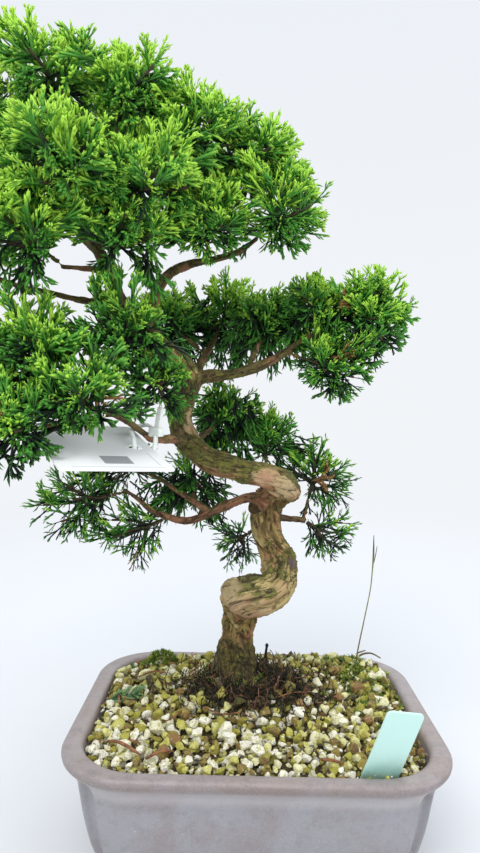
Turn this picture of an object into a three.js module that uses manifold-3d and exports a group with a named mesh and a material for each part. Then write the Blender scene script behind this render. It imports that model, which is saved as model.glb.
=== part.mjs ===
// Juniper bonsai in a rectangular stoneware pot, in millimetres with +Z up.
// The plant is modelled round the pot's centre, and the whole is then moved so that
// the origin is the middle of its bounding box on the plane that the pot's feet stand on.
// The front of the tree faces -Y.

import * as THREE from 'three';
import { mergeVertices } from 'three/addons/utils/BufferGeometryUtils.js';
import Module from 'manifold-3d';

const wasm = await Module();
wasm.setup();

// Clearances
const GAP = 0.3;
const SHOOT_GAP = 0.25;

// Pot
const POT = {
  rimTop: 50, rimHalfWidth: 69.4, rimHalfDepth: 54.9, rimCorner: 26, cornerShrink: 0.75,
  footHeight: 4, floorTop: 9.5,
  mouthHalfWidth: 62, mouthHalfDepth: 48.6, mouthCorner: 22, mouthBottom: 44, mouthTaper: 1,
  hollowHalfWidth: 50.5, hollowHalfDepth: 36.5, hollowCorner: 18,
  footSide: 18, footTaper: 1.5, footOutX: 44, footOutY: 30, soleRise: 0.05,
  drainRadius: 6, drainX: 24,
};

// Outside of the pot upwards: height, distance back from the rim and depth of the corner grooves
const POT_OUTSIDE = [
  [4, 17.4, 2.2], [5, 14.2, 2.2], [8, 11.7, 2.2], [14, 9.4, 2.2], [24, 7.4, 2.2], [36, 5.5, 2.2],
  [41, 4.4, 2], [44.5, 2.3, 0.5], [46.5, 0.4, 0], [48.5, 0, 0], [50, 1.5, 0],
];

// Drain covers
const MESH = { halfSide: 10, thickness: 0.9, holePitch: 5.2, holeSide: 3.2, holesEachWay: 3 };

// Soil
const SOIL = { edgeHeight: 47.2, shoulderDrop: 4, rings: 9, grain: 1.5, flatRadius: 13 };
const MOUNDS = [
  { x: -7, y: 15, height: 8.2, spreadX: 40, spreadY: 34 },
  { x: 42, y: 38, height: 4.5, spreadX: 24, spreadY: 20 },
];

// Trunk and branches: each stop is x, y, z and the radius there
const ROUTES = {
  trunk: [
    [-9.5, 17, 16, 3], [-9.4, 17, 30, 7], [-9.3, 17, 44, 10.6], [-9.1, 17, 53, 11.2], [-8.3, 18, 59, 9.4],
    [-7.4, 18, 67, 8], [-6.8, 17.5, 75, 7.3], [-6.6, 16.5, 82, 7.4], [-6.4, 11, 88.8, 7.7],
    [-5, 3.5, 93.4, 8.3],
    [-0.6, -2.5, 95.6, 8.8], [5, -3, 97.2, 8.6], [9, 2.5, 101, 7.8], [9.3, 10, 105.6, 7.2], [7, 14, 110.3, 6.8],
    [4.4, 16, 115.8, 6.4], [2.8, 17, 122.1, 6.9], [3.4, 19, 127.8, 7.1], [6.7, 19, 132.6, 6.9],
    [10.9, 12, 135.8, 6],
    [10.7, 4, 138.5, 5.6], [5.4, -2, 141.9, 5.4], [-1.1, -4, 144.2, 5.1], [-8.2, -3, 145.5, 5.1],
    [-15.5, -1, 146.7, 5.2], [-22.4, 1, 149.8, 5.3], [-27.9, 3, 154, 5.4], [-31.7, 4, 159.5, 5.3],
    [-33.4, 5, 165.9, 5.2], [-32.1, 5, 172.5, 5.3], [-30.1, 4, 178.6, 5.7], [-31.6, 1, 184.9, 5],
    [-36.5, -3, 189.6, 4.3], [-41.6, -7, 194.2, 3.9],
  ],
  leader: [
    [-40, -6, 192.5, 3.6], [-46.5, -11, 199.4, 3.1], [-51.7, -14, 204.5, 2.9], [-54.8, -16, 209.7, 3],
    [-56.4, -18, 215.2, 2.9], [-59, -20, 220.6, 2.6], [-61.6, -22, 226.5, 2.4], [-62.4, -24, 234.2, 2],
    [-61, -26, 243.2, 1.6], [-58.6, -28, 254.1, 1.3], [-57.7, -30, 263.6, 1],
  ],
  second_leader: [
    [-40.6, -7, 192.8, 2.9], [-43.2, -7, 201.1, 2.5], [-43.4, -7, 208.4, 2.3], [-41.2, -7, 216.1, 2.4],
    [-36.2, -8, 221.4, 2.2], [-29.2, -10, 224.2, 1.9], [-20.4, -12, 225.5, 1.5], [-11, -14, 228.2, 1.3],
    [-3.6, -15, 233.3, 0.9],
  ],
  crown_left: [
    [-60.4, -21, 224, 1.9], [-70, -20, 233, 1.7], [-82, -19, 241, 1.5], [-96, -18, 245, 1.3],
    [-112, -16, 246, 1],
  ],
  crown_back: [
    [-61.5, -22, 227, 1.9], [-60, -10, 238, 1.8], [-60, 4, 248, 1.6], [-64, 18, 254, 1.4],
    [-69, 30, 257, 1.1],
  ],
  right_arm: [
    [-31.5, 4, 178, 3.2], [-24.1, 4, 182, 2.8], [-16.4, 4, 182.8, 2.5], [-8, 4, 184.4, 2.3],
    [-0.3, 4, 187.2, 2.1], [7.2, 3, 191.5, 1.8], [13.4, 2, 196.4, 1.4], [21.6, 1, 200.5, 1.2],
    [30, 0, 204, 0.9],
  ],
  low_left: [
    [4, 17, 130, 3.2], [-3.7, 14, 132.2, 2.4], [-9.6, 12, 130.7, 2.1], [-16.2, 11, 127.7, 2.1],
    [-22.8, 11, 124.2, 2], [-30, 12, 121.8, 1.8], [-38.1, 13, 123.1, 1.6], [-45.5, 14, 125.7, 1.4],
    [-51.2, 15, 130.1, 1.2], [-57.4, 16, 134, 1],
  ],
  low_left_upper: [
    [-19.5, 11, 125.6, 1.8], [-26.4, 13, 129.3, 1.5], [-33, 15, 133.1, 1.4], [-39.8, 18, 136.8, 1.2],
    [-47, 20, 140.3, 1],
  ],
  tag_arm: [
    [-32.5, 3, 157, 2.4], [-34.6, -8, 157, 2.1], [-37.3, -17, 157.3, 1.8], [-40, -24, 157.9, 1.6],
    [-41.9, -31, 159.9, 1.4], [-44.6, -36, 162.6, 1.3], [-47.8, -41, 165.1, 1.2], [-52.5, -46, 167.5, 0.9],
  ],
  low_right: [
    [3, 18, 122.5, 2.6], [7.7, 24, 122.3, 1.9], [15.8, 31, 120.3, 1.6], [22, 34, 119.4, 1.2],
  ],
  far_left: [
    [-53.6, -15, 207.4, 2.2], [-61, -20, 207.1, 1.6], [-69.1, -24, 207.7, 1.3], [-77, -28, 208.9, 1.2],
    [-85.9, -31, 210.3, 1.1], [-95.9, -34, 212.9, 1],
  ],
  near_left: [
    [-57.4, -18.5, 217, 1.7], [-61.9, -22, 218.7, 1.3], [-67, -26, 218.4, 1.1], [-72, -32, 217.4, 1],
  ],
  back_arm: [
    [-30, 5, 179.5, 2.8], [-26.2, 16, 187.1, 2.1], [-23.8, 26, 194, 1.8], [-20.5, 34, 201.2, 1.3],
  ],
  low_back: [
    [-28.6, 4, 155, 2.2], [-25, 12, 157.5, 1.6], [-21, 20, 160.2, 1.2],
  ],
  front_left: [
    [-35.2, -2, 188.4, 2.6], [-43.4, -12, 187.2, 1.8], [-50, -22, 185.6, 1.5], [-57, -30, 184.6, 1.2],
    [-63, -35, 184.2, 1],
  ],
};

// Surface roots at the trunk's foot: heading in degrees, reach and radius.
// They leave the trunk at one share of its length, and the soil stands a little off the wood.
const ROOT_START = 0.085;
const TRUNK_SOCKET = { clearance: 1.2, to: 0.2 };
const ROOT_CLEARANCE = 0.8;
const ROOTS = [
  { heading: 205, reach: 19, radius: 3.6 }, { heading: 262, reach: 17, radius: 3.9 },
  { heading: 318, reach: 18, radius: 3.4 }, { heading: 20, reach: 17, radius: 3.2 },
  { heading: 95, reach: 14, radius: 3.6 }, { heading: 150, reach: 16, radius: 3.1 },
];

// Foliage pads: centre, half sizes, the branch that carries each, and how far along it the twig starts
const PADS = [
  { name: 'crown_top', at: [-77, -36, 281], half: [23, 21, 18], on: 'leader', along: 0.96 },
  { name: 'crown_top_right', at: [-50, -28, 280], half: [21, 21, 18], on: 'leader', along: 0.93 },
  { name: 'crown_right_high', at: [-26, -24, 266], half: [21, 21, 18], on: 'leader', along: 0.8 },
  { name: 'crown_right_shoulder', at: [-4, -16, 264], half: [17, 17, 15], on: 'leader', along: 0.78 },
  { name: 'crown_right', at: [4, -20, 243], half: [21, 21, 18], on: 'second_leader', along: 0.97 },
  { name: 'crown_middle', at: [-40, -44, 244], half: [21, 21, 17], on: 'leader', along: 0.72 },
  { name: 'crown_front', at: [-67, -57, 246], half: [22, 21, 17], on: 'leader', along: 0.68 },
  { name: 'crown_front_low', at: [-80, -50, 224], half: [21, 21, 13], on: 'near_left', along: 0.95 },
  { name: 'crown_middle_low', at: [-50, -43, 226], half: [18, 17, 12], on: 'leader', along: 0.46 },
  { name: 'crown_right_low', at: [-22, -28, 235], half: [18, 17, 13], on: 'second_leader', along: 0.72 },
  { name: 'crown_left_high', at: [-105, -32, 262], half: [22, 21, 18], on: 'crown_left', along: 0.62 },
  { name: 'crown_left_low', at: [-114, -34, 226], half: [21, 20, 16], on: 'far_left', along: 0.97 },
  { name: 'crown_left_far', at: [-130, -12, 245], half: [21, 21, 18], on: 'crown_left', along: 0.96 },
  { name: 'crown_back_high', at: [-62, 6, 284], half: [23, 22, 18], on: 'crown_back', along: 0.5 },
  { name: 'crown_back_left', at: [-96, 12, 272], half: [23, 22, 18], on: 'crown_left', along: 0.5 },
  { name: 'crown_back_right', at: [-30, 12, 262], half: [22, 21, 18], on: 'crown_back', along: 0.42 },
  { name: 'crown_back', at: [-72, 44, 260], half: [22, 20, 17], on: 'crown_back', along: 0.96 },
  { name: 'crown_back_low', at: [-108, 20, 244], half: [21, 20, 15], on: 'crown_left', along: 0.72 },
  { name: 'front_left', at: [-79, -45, 185], half: [21, 20, 16], on: 'front_left', along: 0.95 },
  { name: 'front_middle', at: [-49, -38, 195], half: [17, 16, 12], on: 'front_left', along: 0.5 },
  { name: 'front_inner', at: [-38, -24, 176], half: [13, 12, 11], on: 'front_left', along: 0.22 },
  { name: 'front_tag', at: [-60, -60, 171], half: [20, 17, 12], on: 'tag_arm', along: 0.96 },
  { name: 'front_drooping', at: [-77, -72, 161], half: [16, 15, 11], on: 'tag_arm', along: 0.93 },
  { name: 'far_left', at: [-107, -34, 193], half: [21, 20, 16], on: 'far_left', along: 0.8 },
  { name: 'back_high', at: [-17, 46, 213], half: [23, 21, 21], on: 'back_arm', along: 0.96 },
  { name: 'back_left', at: [-43, 36, 208], half: [20, 18, 17], on: 'back_arm', along: 0.6 },
  { name: 'back_low', at: [-15, 33, 167], half: [18, 17, 16], on: 'low_back', along: 0.96 },
  { name: 'right_inner', at: [21, 6, 209], half: [18, 18, 16], on: 'right_arm', along: 0.86 },
  { name: 'right_tip', at: [43, 0, 209], half: [17, 18, 20], on: 'right_arm', along: 0.97 },
  { name: 'right_low', at: [27, -2, 186], half: [20, 16, 12], on: 'right_arm', along: 0.66 },
  { name: 'right_back', at: [3, 20, 208], half: [16, 16, 15], on: 'right_arm', along: 0.4 },
  { name: 'low_right_high', at: [3, 36, 157], half: [16, 15, 15], on: 'trunk', along: 0.52 },
  { name: 'low_right_tip', at: [26, 38, 141], half: [20, 17, 17], on: 'low_right', along: 0.96 },
  { name: 'low_right_low', at: [31, 35, 114], half: [17, 16, 12], on: 'low_right', along: 0.9 },
  { name: 'low_left_tip', at: [-76, 8, 129], half: [21, 18, 15], on: 'low_left', along: 0.97 },
  { name: 'low_left_under', at: [-51, 10, 117], half: [21, 17, 12], on: 'low_left', along: 0.66 },
  { name: 'low_left_inner', at: [-28, 28, 138], half: [18, 16, 13], on: 'low_left_upper', along: 0.3 },
  { name: 'low_left_back', at: [-62, 28, 143], half: [18, 16, 13], on: 'low_left_upper', along: 0.97 },
  { name: 'low_hanging', at: [-9, 32, 109], half: [10, 10, 12], on: 'low_right', along: 0.2 },
];

// Shoots of a pad
const SHOOT = {
  rootRadius: 0.85, stemRadius: 0.8, stemEndRadius: 0.6, stemStep: 3.8, stemReach: 0.62, stemBend: 0.4,
  stemGap: 1.6, sizePerStem: 12, footRadius: 0.75, tipRadius: 0.15,
  shortest: 5, longest: 15, deepest: 20, lengthShare: [0.86, 1.1], shorten: 0.18, footShare: 0.18,
  twinShare: 0.2, lean: 0.75, sway: 0.2, spread: 0.12, lift: 0.15, tries: 4,
};

// Tag, its tie, the name marker and the grass stalk
const TAG = {
  corner: [-27.7, -62, 150.3], alongSide: [-0.457, 0.855, 0.245], alongFront: [-0.878, -0.479, 0.034],
  side: 46, front: 35.3, thickness: 0.8, cornerRadius: 1.5, holeInset: 5.5, holeRadius: 2.6,
  clearRadius: 2.6, clearPitch: 5,
};
const TIE = {
  width: 2.2, thickness: 0.9, across: [-0.43, -0.79, 0.43], clearRadius: 1.4,
  headSize: [4.8, 3.4, 3.2], headTurn: -0.45, headOffset: [0.2, 0, 0.4],
  tail: [[0.3, 0, 1], [0.9, 0.4, 5], [1.4, 1.6, 9]], tailAcross: [1, -0.5, 0],
  loop: [
    [-38, -33.2, 160.4], [-37.6, -36, 157.4], [-38, -39.4, 154.4], [-40.2, -43, 153],
    [-42.8, -45.2, 154.6], [-43.6, -44.6, 158.2], [-45, -40.4, 160.6], [-46, -35.4, 161],
    [-45, -31.9, 162.2], [-42, -30.9, 163.2], [-39.4, -31.8, 162.4], [-38.2, -32.8, 161],
  ],
};
const MARKER = {
  foot: [36.2, -39.9, 30], top: [47.1, -53, 73.3], across: [0.959, 0.224, -0.174],
  width: 13.4, thickness: 1, steps: 3,
};
const STALK = {
  radius: 0.45,
  route: [
    [46.8, 38, 38], [47.5, 38, 47], [48.5, 38.5, 57], [51.2, 39, 72], [54, 40, 87],
    [54.9, 40, 101], [54.8, 40, 112],
  ],
  awn: [[54.8, 40, 98], [55.6, 39.8, 101.5], [56.4, 39.6, 107]],
};
const SPRIG = { at: [-52, 3], heading: 18, length: 17, radius: 0.7 };

// A repeatable stream of numbers between 0 and 1
function seededRandom(seed) {
  let state = seed >>> 0;
  return () => {
    state = (state + 0x6d2b79f5) >>> 0;
    let mixed = Math.imul(state ^ (state >>> 15), 1 | state);
    mixed = (mixed + Math.imul(mixed ^ (mixed >>> 7), 61 | mixed)) ^ mixed;
    return ((mixed ^ (mixed >>> 14)) >>> 0) / 4294967296;
  };
}

const vec = (values) => new THREE.Vector3(values[0], values[1], values[2]);

// Mesh, solid and geometry conversions
function solidOf(vertices, triangles) {
  return new wasm.Manifold(new wasm.Mesh({
    numProp: 3,
    vertProperties: Float32Array.from(vertices.flatMap((v) => [v.x, v.y, v.z])),
    triVerts: Uint32Array.from(triangles.flat()),
  }));
}

function solidOfGeometry(geometry) {
  const bare = geometry.clone();
  bare.deleteAttribute('normal');
  bare.deleteAttribute('uv');
  const merged = mergeVertices(bare, 1e-4);
  return new wasm.Manifold(new wasm.Mesh({
    numProp: 3,
    vertProperties: Float32Array.from(merged.attributes.position.array),
    triVerts: Uint32Array.from(merged.index.array),
  }));
}

function geometryOfSolid(solid) {
  const mesh = solid.getMesh();
  const geometry = new THREE.BufferGeometry();
  geometry.setAttribute('position', new THREE.BufferAttribute(new Float32Array(mesh.vertProperties), 3));
  geometry.setIndex(new THREE.BufferAttribute(new Uint32Array(mesh.triVerts), 1));
  return geometry;
}

function geometryOf(vertices, triangles) {
  const geometry = new THREE.BufferGeometry();
  const places = vertices.flatMap((v) => [v.x, v.y, v.z]);
  geometry.setAttribute('position', new THREE.Float32BufferAttribute(places, 3));
  geometry.setIndex(triangles.flat());
  return geometry;
}

function joined(solids) {
  return solids.reduce((whole, next) => whole.add(next));
}

// Closed skin over a stack of rings that all have the same number of points
function skinOver(rings) {
  const count = rings[0].length;
  const vertices = rings.flat();
  const triangles = [];
  for (let level = 0; level + 1 < rings.length; level += 1) {
    for (let i = 0; i < count; i += 1) {
      const a = level * count + i;
      const b = level * count + ((i + 1) % count);
      triangles.push([a, b, b + count], [a, b + count, a + count]);
    }
  }
  const last = (rings.length - 1) * count;
  for (let i = 1; i + 1 < count; i += 1) {
    triangles.push([0, i + 1, i]);
    triangles.push([last, last + i, last + i + 1]);
  }
  return solidOf(vertices, triangles);
}

// Smooth curve through stops, with the radius carried along
function routeOf(stops) {
  const curve = new THREE.CatmullRomCurve3(stops.map(vec), false, 'centripetal');
  return {
    point: (t) => curve.getPoint(t),
    tangent: (t) => curve.getTangent(t),
    radius: (t) => {
      const place = Math.min(t, 0.99999) * (stops.length - 1);
      const index = Math.floor(place);
      return THREE.MathUtils.lerp(stops[index][3], stops[index + 1][3], place - index);
    },
  };
}

// Tube round a route, with an optional lobed section and extra thickness
function tubeAlong(route, { sides, steps, extra = 0, lobes = 0, from = 0, to = 1 }) {
  const rings = [];
  let side = null;
  for (let step = 0; step <= steps; step += 1) {
    const t = THREE.MathUtils.lerp(from, to, step / steps);
    const centre = route.point(t);
    const ahead = route.tangent(t);
    if (!side) {
      side = new THREE.Vector3(0, 1, 0).cross(ahead);
      if (side.length() < 0.3) {
        side = new THREE.Vector3(1, 0, 0).cross(ahead);
      }
    }
    side.addScaledVector(ahead, -side.dot(ahead)).normalize();
    const other = ahead.clone().cross(side);
    const ring = [];
    for (let i = 0; i < sides; i += 1) {
      const turn = (2 * Math.PI * i) / sides;
      const reach = (route.radius(t) + extra) * (1 + lobes * Math.cos(3 * turn + 0.35 * step));
      ring.push(centre.clone()
        .addScaledVector(side, reach * Math.cos(turn))
        .addScaledVector(other, reach * Math.sin(turn)));
    }
    rings.push(ring);
  }
  return skinOver(rings);
}

// Outline of a rounded rectangle. The middle of each corner can be set back as a groove.
const CORNER_ANGLES = [0, 17, 33, 36, 45, 54, 57, 73, 90];
const GROOVE_ANGLES = [36, 45, 54];
function roundedOutline(halfWidth, halfDepth, corner, z, groove = 0) {
  const points = [];
  const quarters = [[1, 1, 0], [-1, 1, 90], [-1, -1, 180], [1, -1, 270]];
  for (const [signX, signY, start] of quarters) {
    const centreX = signX * (halfWidth - corner);
    const centreY = signY * (halfDepth - corner);
    for (const turn of CORNER_ANGLES) {
      const angle = THREE.MathUtils.degToRad(start + turn);
      const reach = corner - (GROOVE_ANGLES.includes(turn) ? groove : 0);
      points.push(new THREE.Vector3(centreX + reach * Math.cos(angle), centreY + reach * Math.sin(angle), z));
    }
  }
  return points;
}

function boxSolid(sizeX, sizeY, sizeZ, x, y, z) {
  const box = new THREE.BoxGeometry(sizeX, sizeY, sizeZ);
  box.translate(x, y, z);
  return solidOfGeometry(box);
}

function cylinderSolid(radius, height, x, y, z, sides = 16) {
  const cylinder = new THREE.CylinderGeometry(radius, radius, height, sides);
  cylinder.rotateX(Math.PI / 2);
  cylinder.translate(x, y, z);
  return solidOfGeometry(cylinder);
}

// Foot whose outer corner stands a little proud of its neighbours and carries the weight
function makeFoot(signX, signY) {
  const outerX = POT.footOutX;
  const outerY = POT.footOutY;
  const innerX = outerX - POT.footSide;
  const innerY = outerY - POT.footSide;
  const corners = [
    [outerX, outerY], [innerX, outerY - POT.footTaper], [innerX, innerY], [outerX - POT.footTaper, innerY],
  ];
  const outline = new THREE.Shape(corners.map(([x, y]) => new THREE.Vector2(signX * x, signY * y)));
  const foot = new THREE.ExtrudeGeometry(outline, { depth: POT.footHeight + 1, bevelEnabled: false });
  const place = foot.getAttribute('position');
  for (let i = 0; i < place.count; i += 1) {
    const atOuterCorner = Math.abs(place.getX(i)) === outerX && Math.abs(place.getY(i)) === outerY;
    if (place.getZ(i) === 0 && !atOuterCorner) {
      place.setZ(i, POT.soleRise);
    }
  }
  return solidOfGeometry(foot);
}

// Pot with a thin flared rim, grooved corners, four feet and two drain holes
function makePot() {
  const outside = skinOver(POT_OUTSIDE.map(([z, back, groove]) => roundedOutline(
    POT.rimHalfWidth - back, POT.rimHalfDepth - back, POT.rimCorner - POT.cornerShrink * back, z, groove,
  )));
  const hollow = skinOver([
    roundedOutline(POT.hollowHalfWidth, POT.hollowHalfDepth, POT.hollowCorner, POT.floorTop),
    roundedOutline(
      POT.mouthHalfWidth - POT.mouthTaper, POT.mouthHalfDepth - POT.mouthTaper,
      POT.mouthCorner - POT.mouthTaper, POT.mouthBottom,
    ),
    roundedOutline(POT.mouthHalfWidth, POT.mouthHalfDepth, POT.mouthCorner, POT.rimTop - 1),
    roundedOutline(POT.mouthHalfWidth + 1.5, POT.mouthHalfDepth + 1.5, POT.mouthCorner, POT.rimTop + 1),
  ]);
  let pot = outside.subtract(hollow);
  for (const signX of [-1, 1]) {
    for (const signY of [-1, 1]) {
      pot = pot.add(makeFoot(signX, signY));
    }
    pot = pot.subtract(cylinderSolid(POT.drainRadius, 20, signX * POT.drainX, 0, POT.footHeight + 2));
  }
  return pot;
}

// Square of plastic mesh over a drain hole
function makeDrainMesh(x) {
  const z = POT.floorTop + GAP + MESH.thickness / 2;
  let sheet = boxSolid(2 * MESH.halfSide, 2 * MESH.halfSide, MESH.thickness, x, 0, z);
  for (let i = 0; i < MESH.holesEachWay; i += 1) {
    for (let j = 0; j < MESH.holesEachWay; j += 1) {
      const offset = (MESH.holesEachWay - 1) / 2;
      sheet = sheet.subtract(boxSolid(
        MESH.holeSide, MESH.holeSide, 2, x + (i - offset) * MESH.holePitch, (j - offset) * MESH.holePitch, z,
      ));
    }
  }
  return sheet;
}

function soilHeight(x, y) {
  return MOUNDS.reduce((height, mound) => {
    const across = (x - mound.x) / mound.spreadX;
    const along = (y - mound.y) / mound.spreadY;
    return height + mound.height * Math.exp(-across * across - along * along);
  }, SOIL.edgeHeight);
}

// Soil that fills the pot, with a grainy top and plain sockets for what stands in it
function makeSoil(sockets) {
  const random = seededRandom(11);
  const wallAt = (share, z) => roundedOutline(
    THREE.MathUtils.lerp(POT.hollowHalfWidth, POT.mouthHalfWidth - POT.mouthTaper, share) - GAP,
    THREE.MathUtils.lerp(POT.hollowHalfDepth, POT.mouthHalfDepth - POT.mouthTaper, share) - GAP,
    THREE.MathUtils.lerp(POT.hollowCorner, POT.mouthCorner - POT.mouthTaper, share),
    z,
  );
  const shareAt = (z) => (z - POT.floorTop) / (POT.mouthBottom - POT.floorTop);
  const bottom = POT.floorTop + GAP;
  const shoulder = SOIL.edgeHeight - SOIL.shoulderDrop;
  const rings = [wallAt(shareAt(bottom), bottom), wallAt(shareAt(shoulder), shoulder)];
  const brim = wallAt(1, 0);
  for (let ring = SOIL.rings; ring >= 1; ring -= 1) {
    const share = ring / SOIL.rings;
    rings.push(brim.map((edge) => {
      const x = edge.x * share;
      const y = edge.y * share;
      const nearSprig = Math.hypot(x - SPRIG.at[0], y - SPRIG.at[1]) < SOIL.flatRadius;
      const grain = nearSprig ? 0 : SOIL.grain * (2 * random() - 1);
      return new THREE.Vector3(x, y, soilHeight(x, y) + grain);
    }));
  }
  return sockets.reduce((soil, socket) => soil.subtract(socket), skinOver(rings));
}

// Distance between two segments, with where along each it is found
function segmentGap(a, b, c, d) {
  const u = b.clone().sub(a);
  const v = d.clone().sub(c);
  const w = a.clone().sub(c);
  const uu = u.dot(u);
  const uv = u.dot(v);
  const vv = v.dot(v);
  const uw = u.dot(w);
  const vw = v.dot(w);
  const spread = uu * vv - uv * uv;
  const clamp = (value) => Math.min(1, Math.max(0, value));
  let s = spread > 1e-9 ? clamp((uv * vw - vv * uw) / spread) : 0;
  const t = clamp((uv * s + vw) / vv);
  s = clamp((uv * t - uw) / uu);
  const gap = a.clone().addScaledVector(u, s).distanceTo(c.clone().addScaledVector(v, t));
  return { gap, s, t };
}

// Everything that a shoot has to stay clear of, held as tapering rods
const rods = [];
function addRod(start, end, startRadius, endRadius, owner = null) {
  const reach = start.distanceTo(end) / 2 + Math.max(startRadius, endRadius);
  const middle = start.clone().add(end).multiplyScalar(0.5);
  rods.push({ start, end, startRadius, endRadius, owner, middle, reach });
}

function isClear(start, end, startRadius, endRadius, gap, owner) {
  const reach = start.distanceTo(end) / 2 + Math.max(startRadius, endRadius) + gap;
  const middle = start.clone().add(end).multiplyScalar(0.5);
  return rods.every((rod) => {
    if (rod.owner === owner || middle.distanceTo(rod.middle) > reach + rod.reach) {
      return true;
    }
    const found = segmentGap(start, end, rod.start, rod.end);
    const own = THREE.MathUtils.lerp(startRadius, endRadius, found.s);
    const other = THREE.MathUtils.lerp(rod.startRadius, rod.endRadius, found.t);
    return found.gap > own + other + gap;
  });
}

// Trunk, surface roots, branches and the twigs that carry the pads, all one piece of wood
const routes = Object.fromEntries(Object.entries(ROUTES).map(([name, stops]) => [name, routeOf(stops)]));

function rootRoute(root) {
  const turn = THREE.MathUtils.degToRad(root.heading);
  const trunk = routes.trunk.point(ROOT_START);
  const stop = (share, drop, radius) => {
    const x = trunk.x + Math.cos(turn) * root.reach * share;
    const y = trunk.y + Math.sin(turn) * root.reach * share;
    return [x, y, soilHeight(x, y) + drop, radius];
  };
  return routeOf([
    stop(0.2, 1.5, root.radius), stop(0.5, -0.8, root.radius * 0.8), stop(0.8, -3, root.radius * 0.5),
    stop(1, -5.5, root.radius * 0.3),
  ]);
}

function padTwig(pad) {
  const start = routes[pad.on].point(pad.along);
  const centre = vec(pad.at);
  const towards = start.clone().sub(centre);
  const distance = towards.length();
  const reach = 1 / towards.clone().divide(vec(pad.half)).length() * distance;
  const end = centre.clone().addScaledVector(towards, Math.min(0.75 * reach, distance - 2.5) / distance);
  const thick = Math.min(1.5, routes[pad.on].radius(pad.along) * 0.85);
  return { start, end, thick };
}

function makeWood() {
  const pieces = [tubeAlong(routes.trunk, { sides: 8, steps: 37, lobes: 0.06 })];
  for (const name of Object.keys(ROUTES)) {
    const stops = ROUTES[name].length;
    const thin = name !== 'trunk';
    if (thin) {
      pieces.push(tubeAlong(routes[name], { sides: 4, steps: stops - 1 }));
    }
    const parts = 2 * stops;
    for (let i = 0; i < parts; i += 1) {
      const a = i / parts;
      const b = (i + 1) / parts;
      addRod(routes[name].point(a), routes[name].point(b), routes[name].radius(a), routes[name].radius(b));
    }
  }
  for (const root of ROOTS) {
    pieces.push(tubeAlong(rootRoute(root), { sides: 4, steps: 3 }));
  }
  for (const pad of PADS) {
    const twig = padTwig(pad);
    const route = routeOf([[...twig.start, twig.thick], [...twig.end, SHOOT.rootRadius]]);
    pieces.push(tubeAlong(route, { sides: 3, steps: 1 }));
    addRod(twig.start, twig.end, twig.thick, SHOOT.rootRadius);
  }
  return joined(pieces);
}

// What the soil leaves free round the trunk's foot and its roots
function woodSockets() {
  const { clearance, to } = TRUNK_SOCKET;
  const foot = tubeAlong(routes.trunk, { sides: 8, steps: 8, extra: clearance, to });
  const roots = ROOTS.map((root) => tubeAlong(rootRoute(root), { sides: 4, steps: 3, extra: ROOT_CLEARANCE }));
  return [foot, ...roots];
}

// True where the edge from a to b pierces the inside of a triangle
function edgePierces(a, b, triangle) {
  const sideOne = triangle[1].clone().sub(triangle[0]);
  const sideTwo = triangle[2].clone().sub(triangle[0]);
  const edge = b.clone().sub(a);
  const normal = edge.clone().cross(sideTwo);
  const volume = sideOne.dot(normal);
  if (Math.abs(volume) < 1e-9) {
    return false;
  }
  const offset = a.clone().sub(triangle[0]);
  const u = offset.dot(normal) / volume;
  const turned = offset.cross(sideOne);
  const v = edge.dot(turned) / volume;
  const along = sideTwo.dot(turned) / volume;
  const edgeOnly = 1e-5;
  return u > edgeOnly && v > edgeOnly && u + v < 1 - edgeOnly && along > edgeOnly && along < 1 - edgeOnly;
}

function trianglesCross(p, q) {
  return [0, 1, 2].some((i) => edgePierces(p[i], p[(i + 1) % 3], q) || edgePierces(q[i], q[(i + 1) % 3], p));
}

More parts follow.
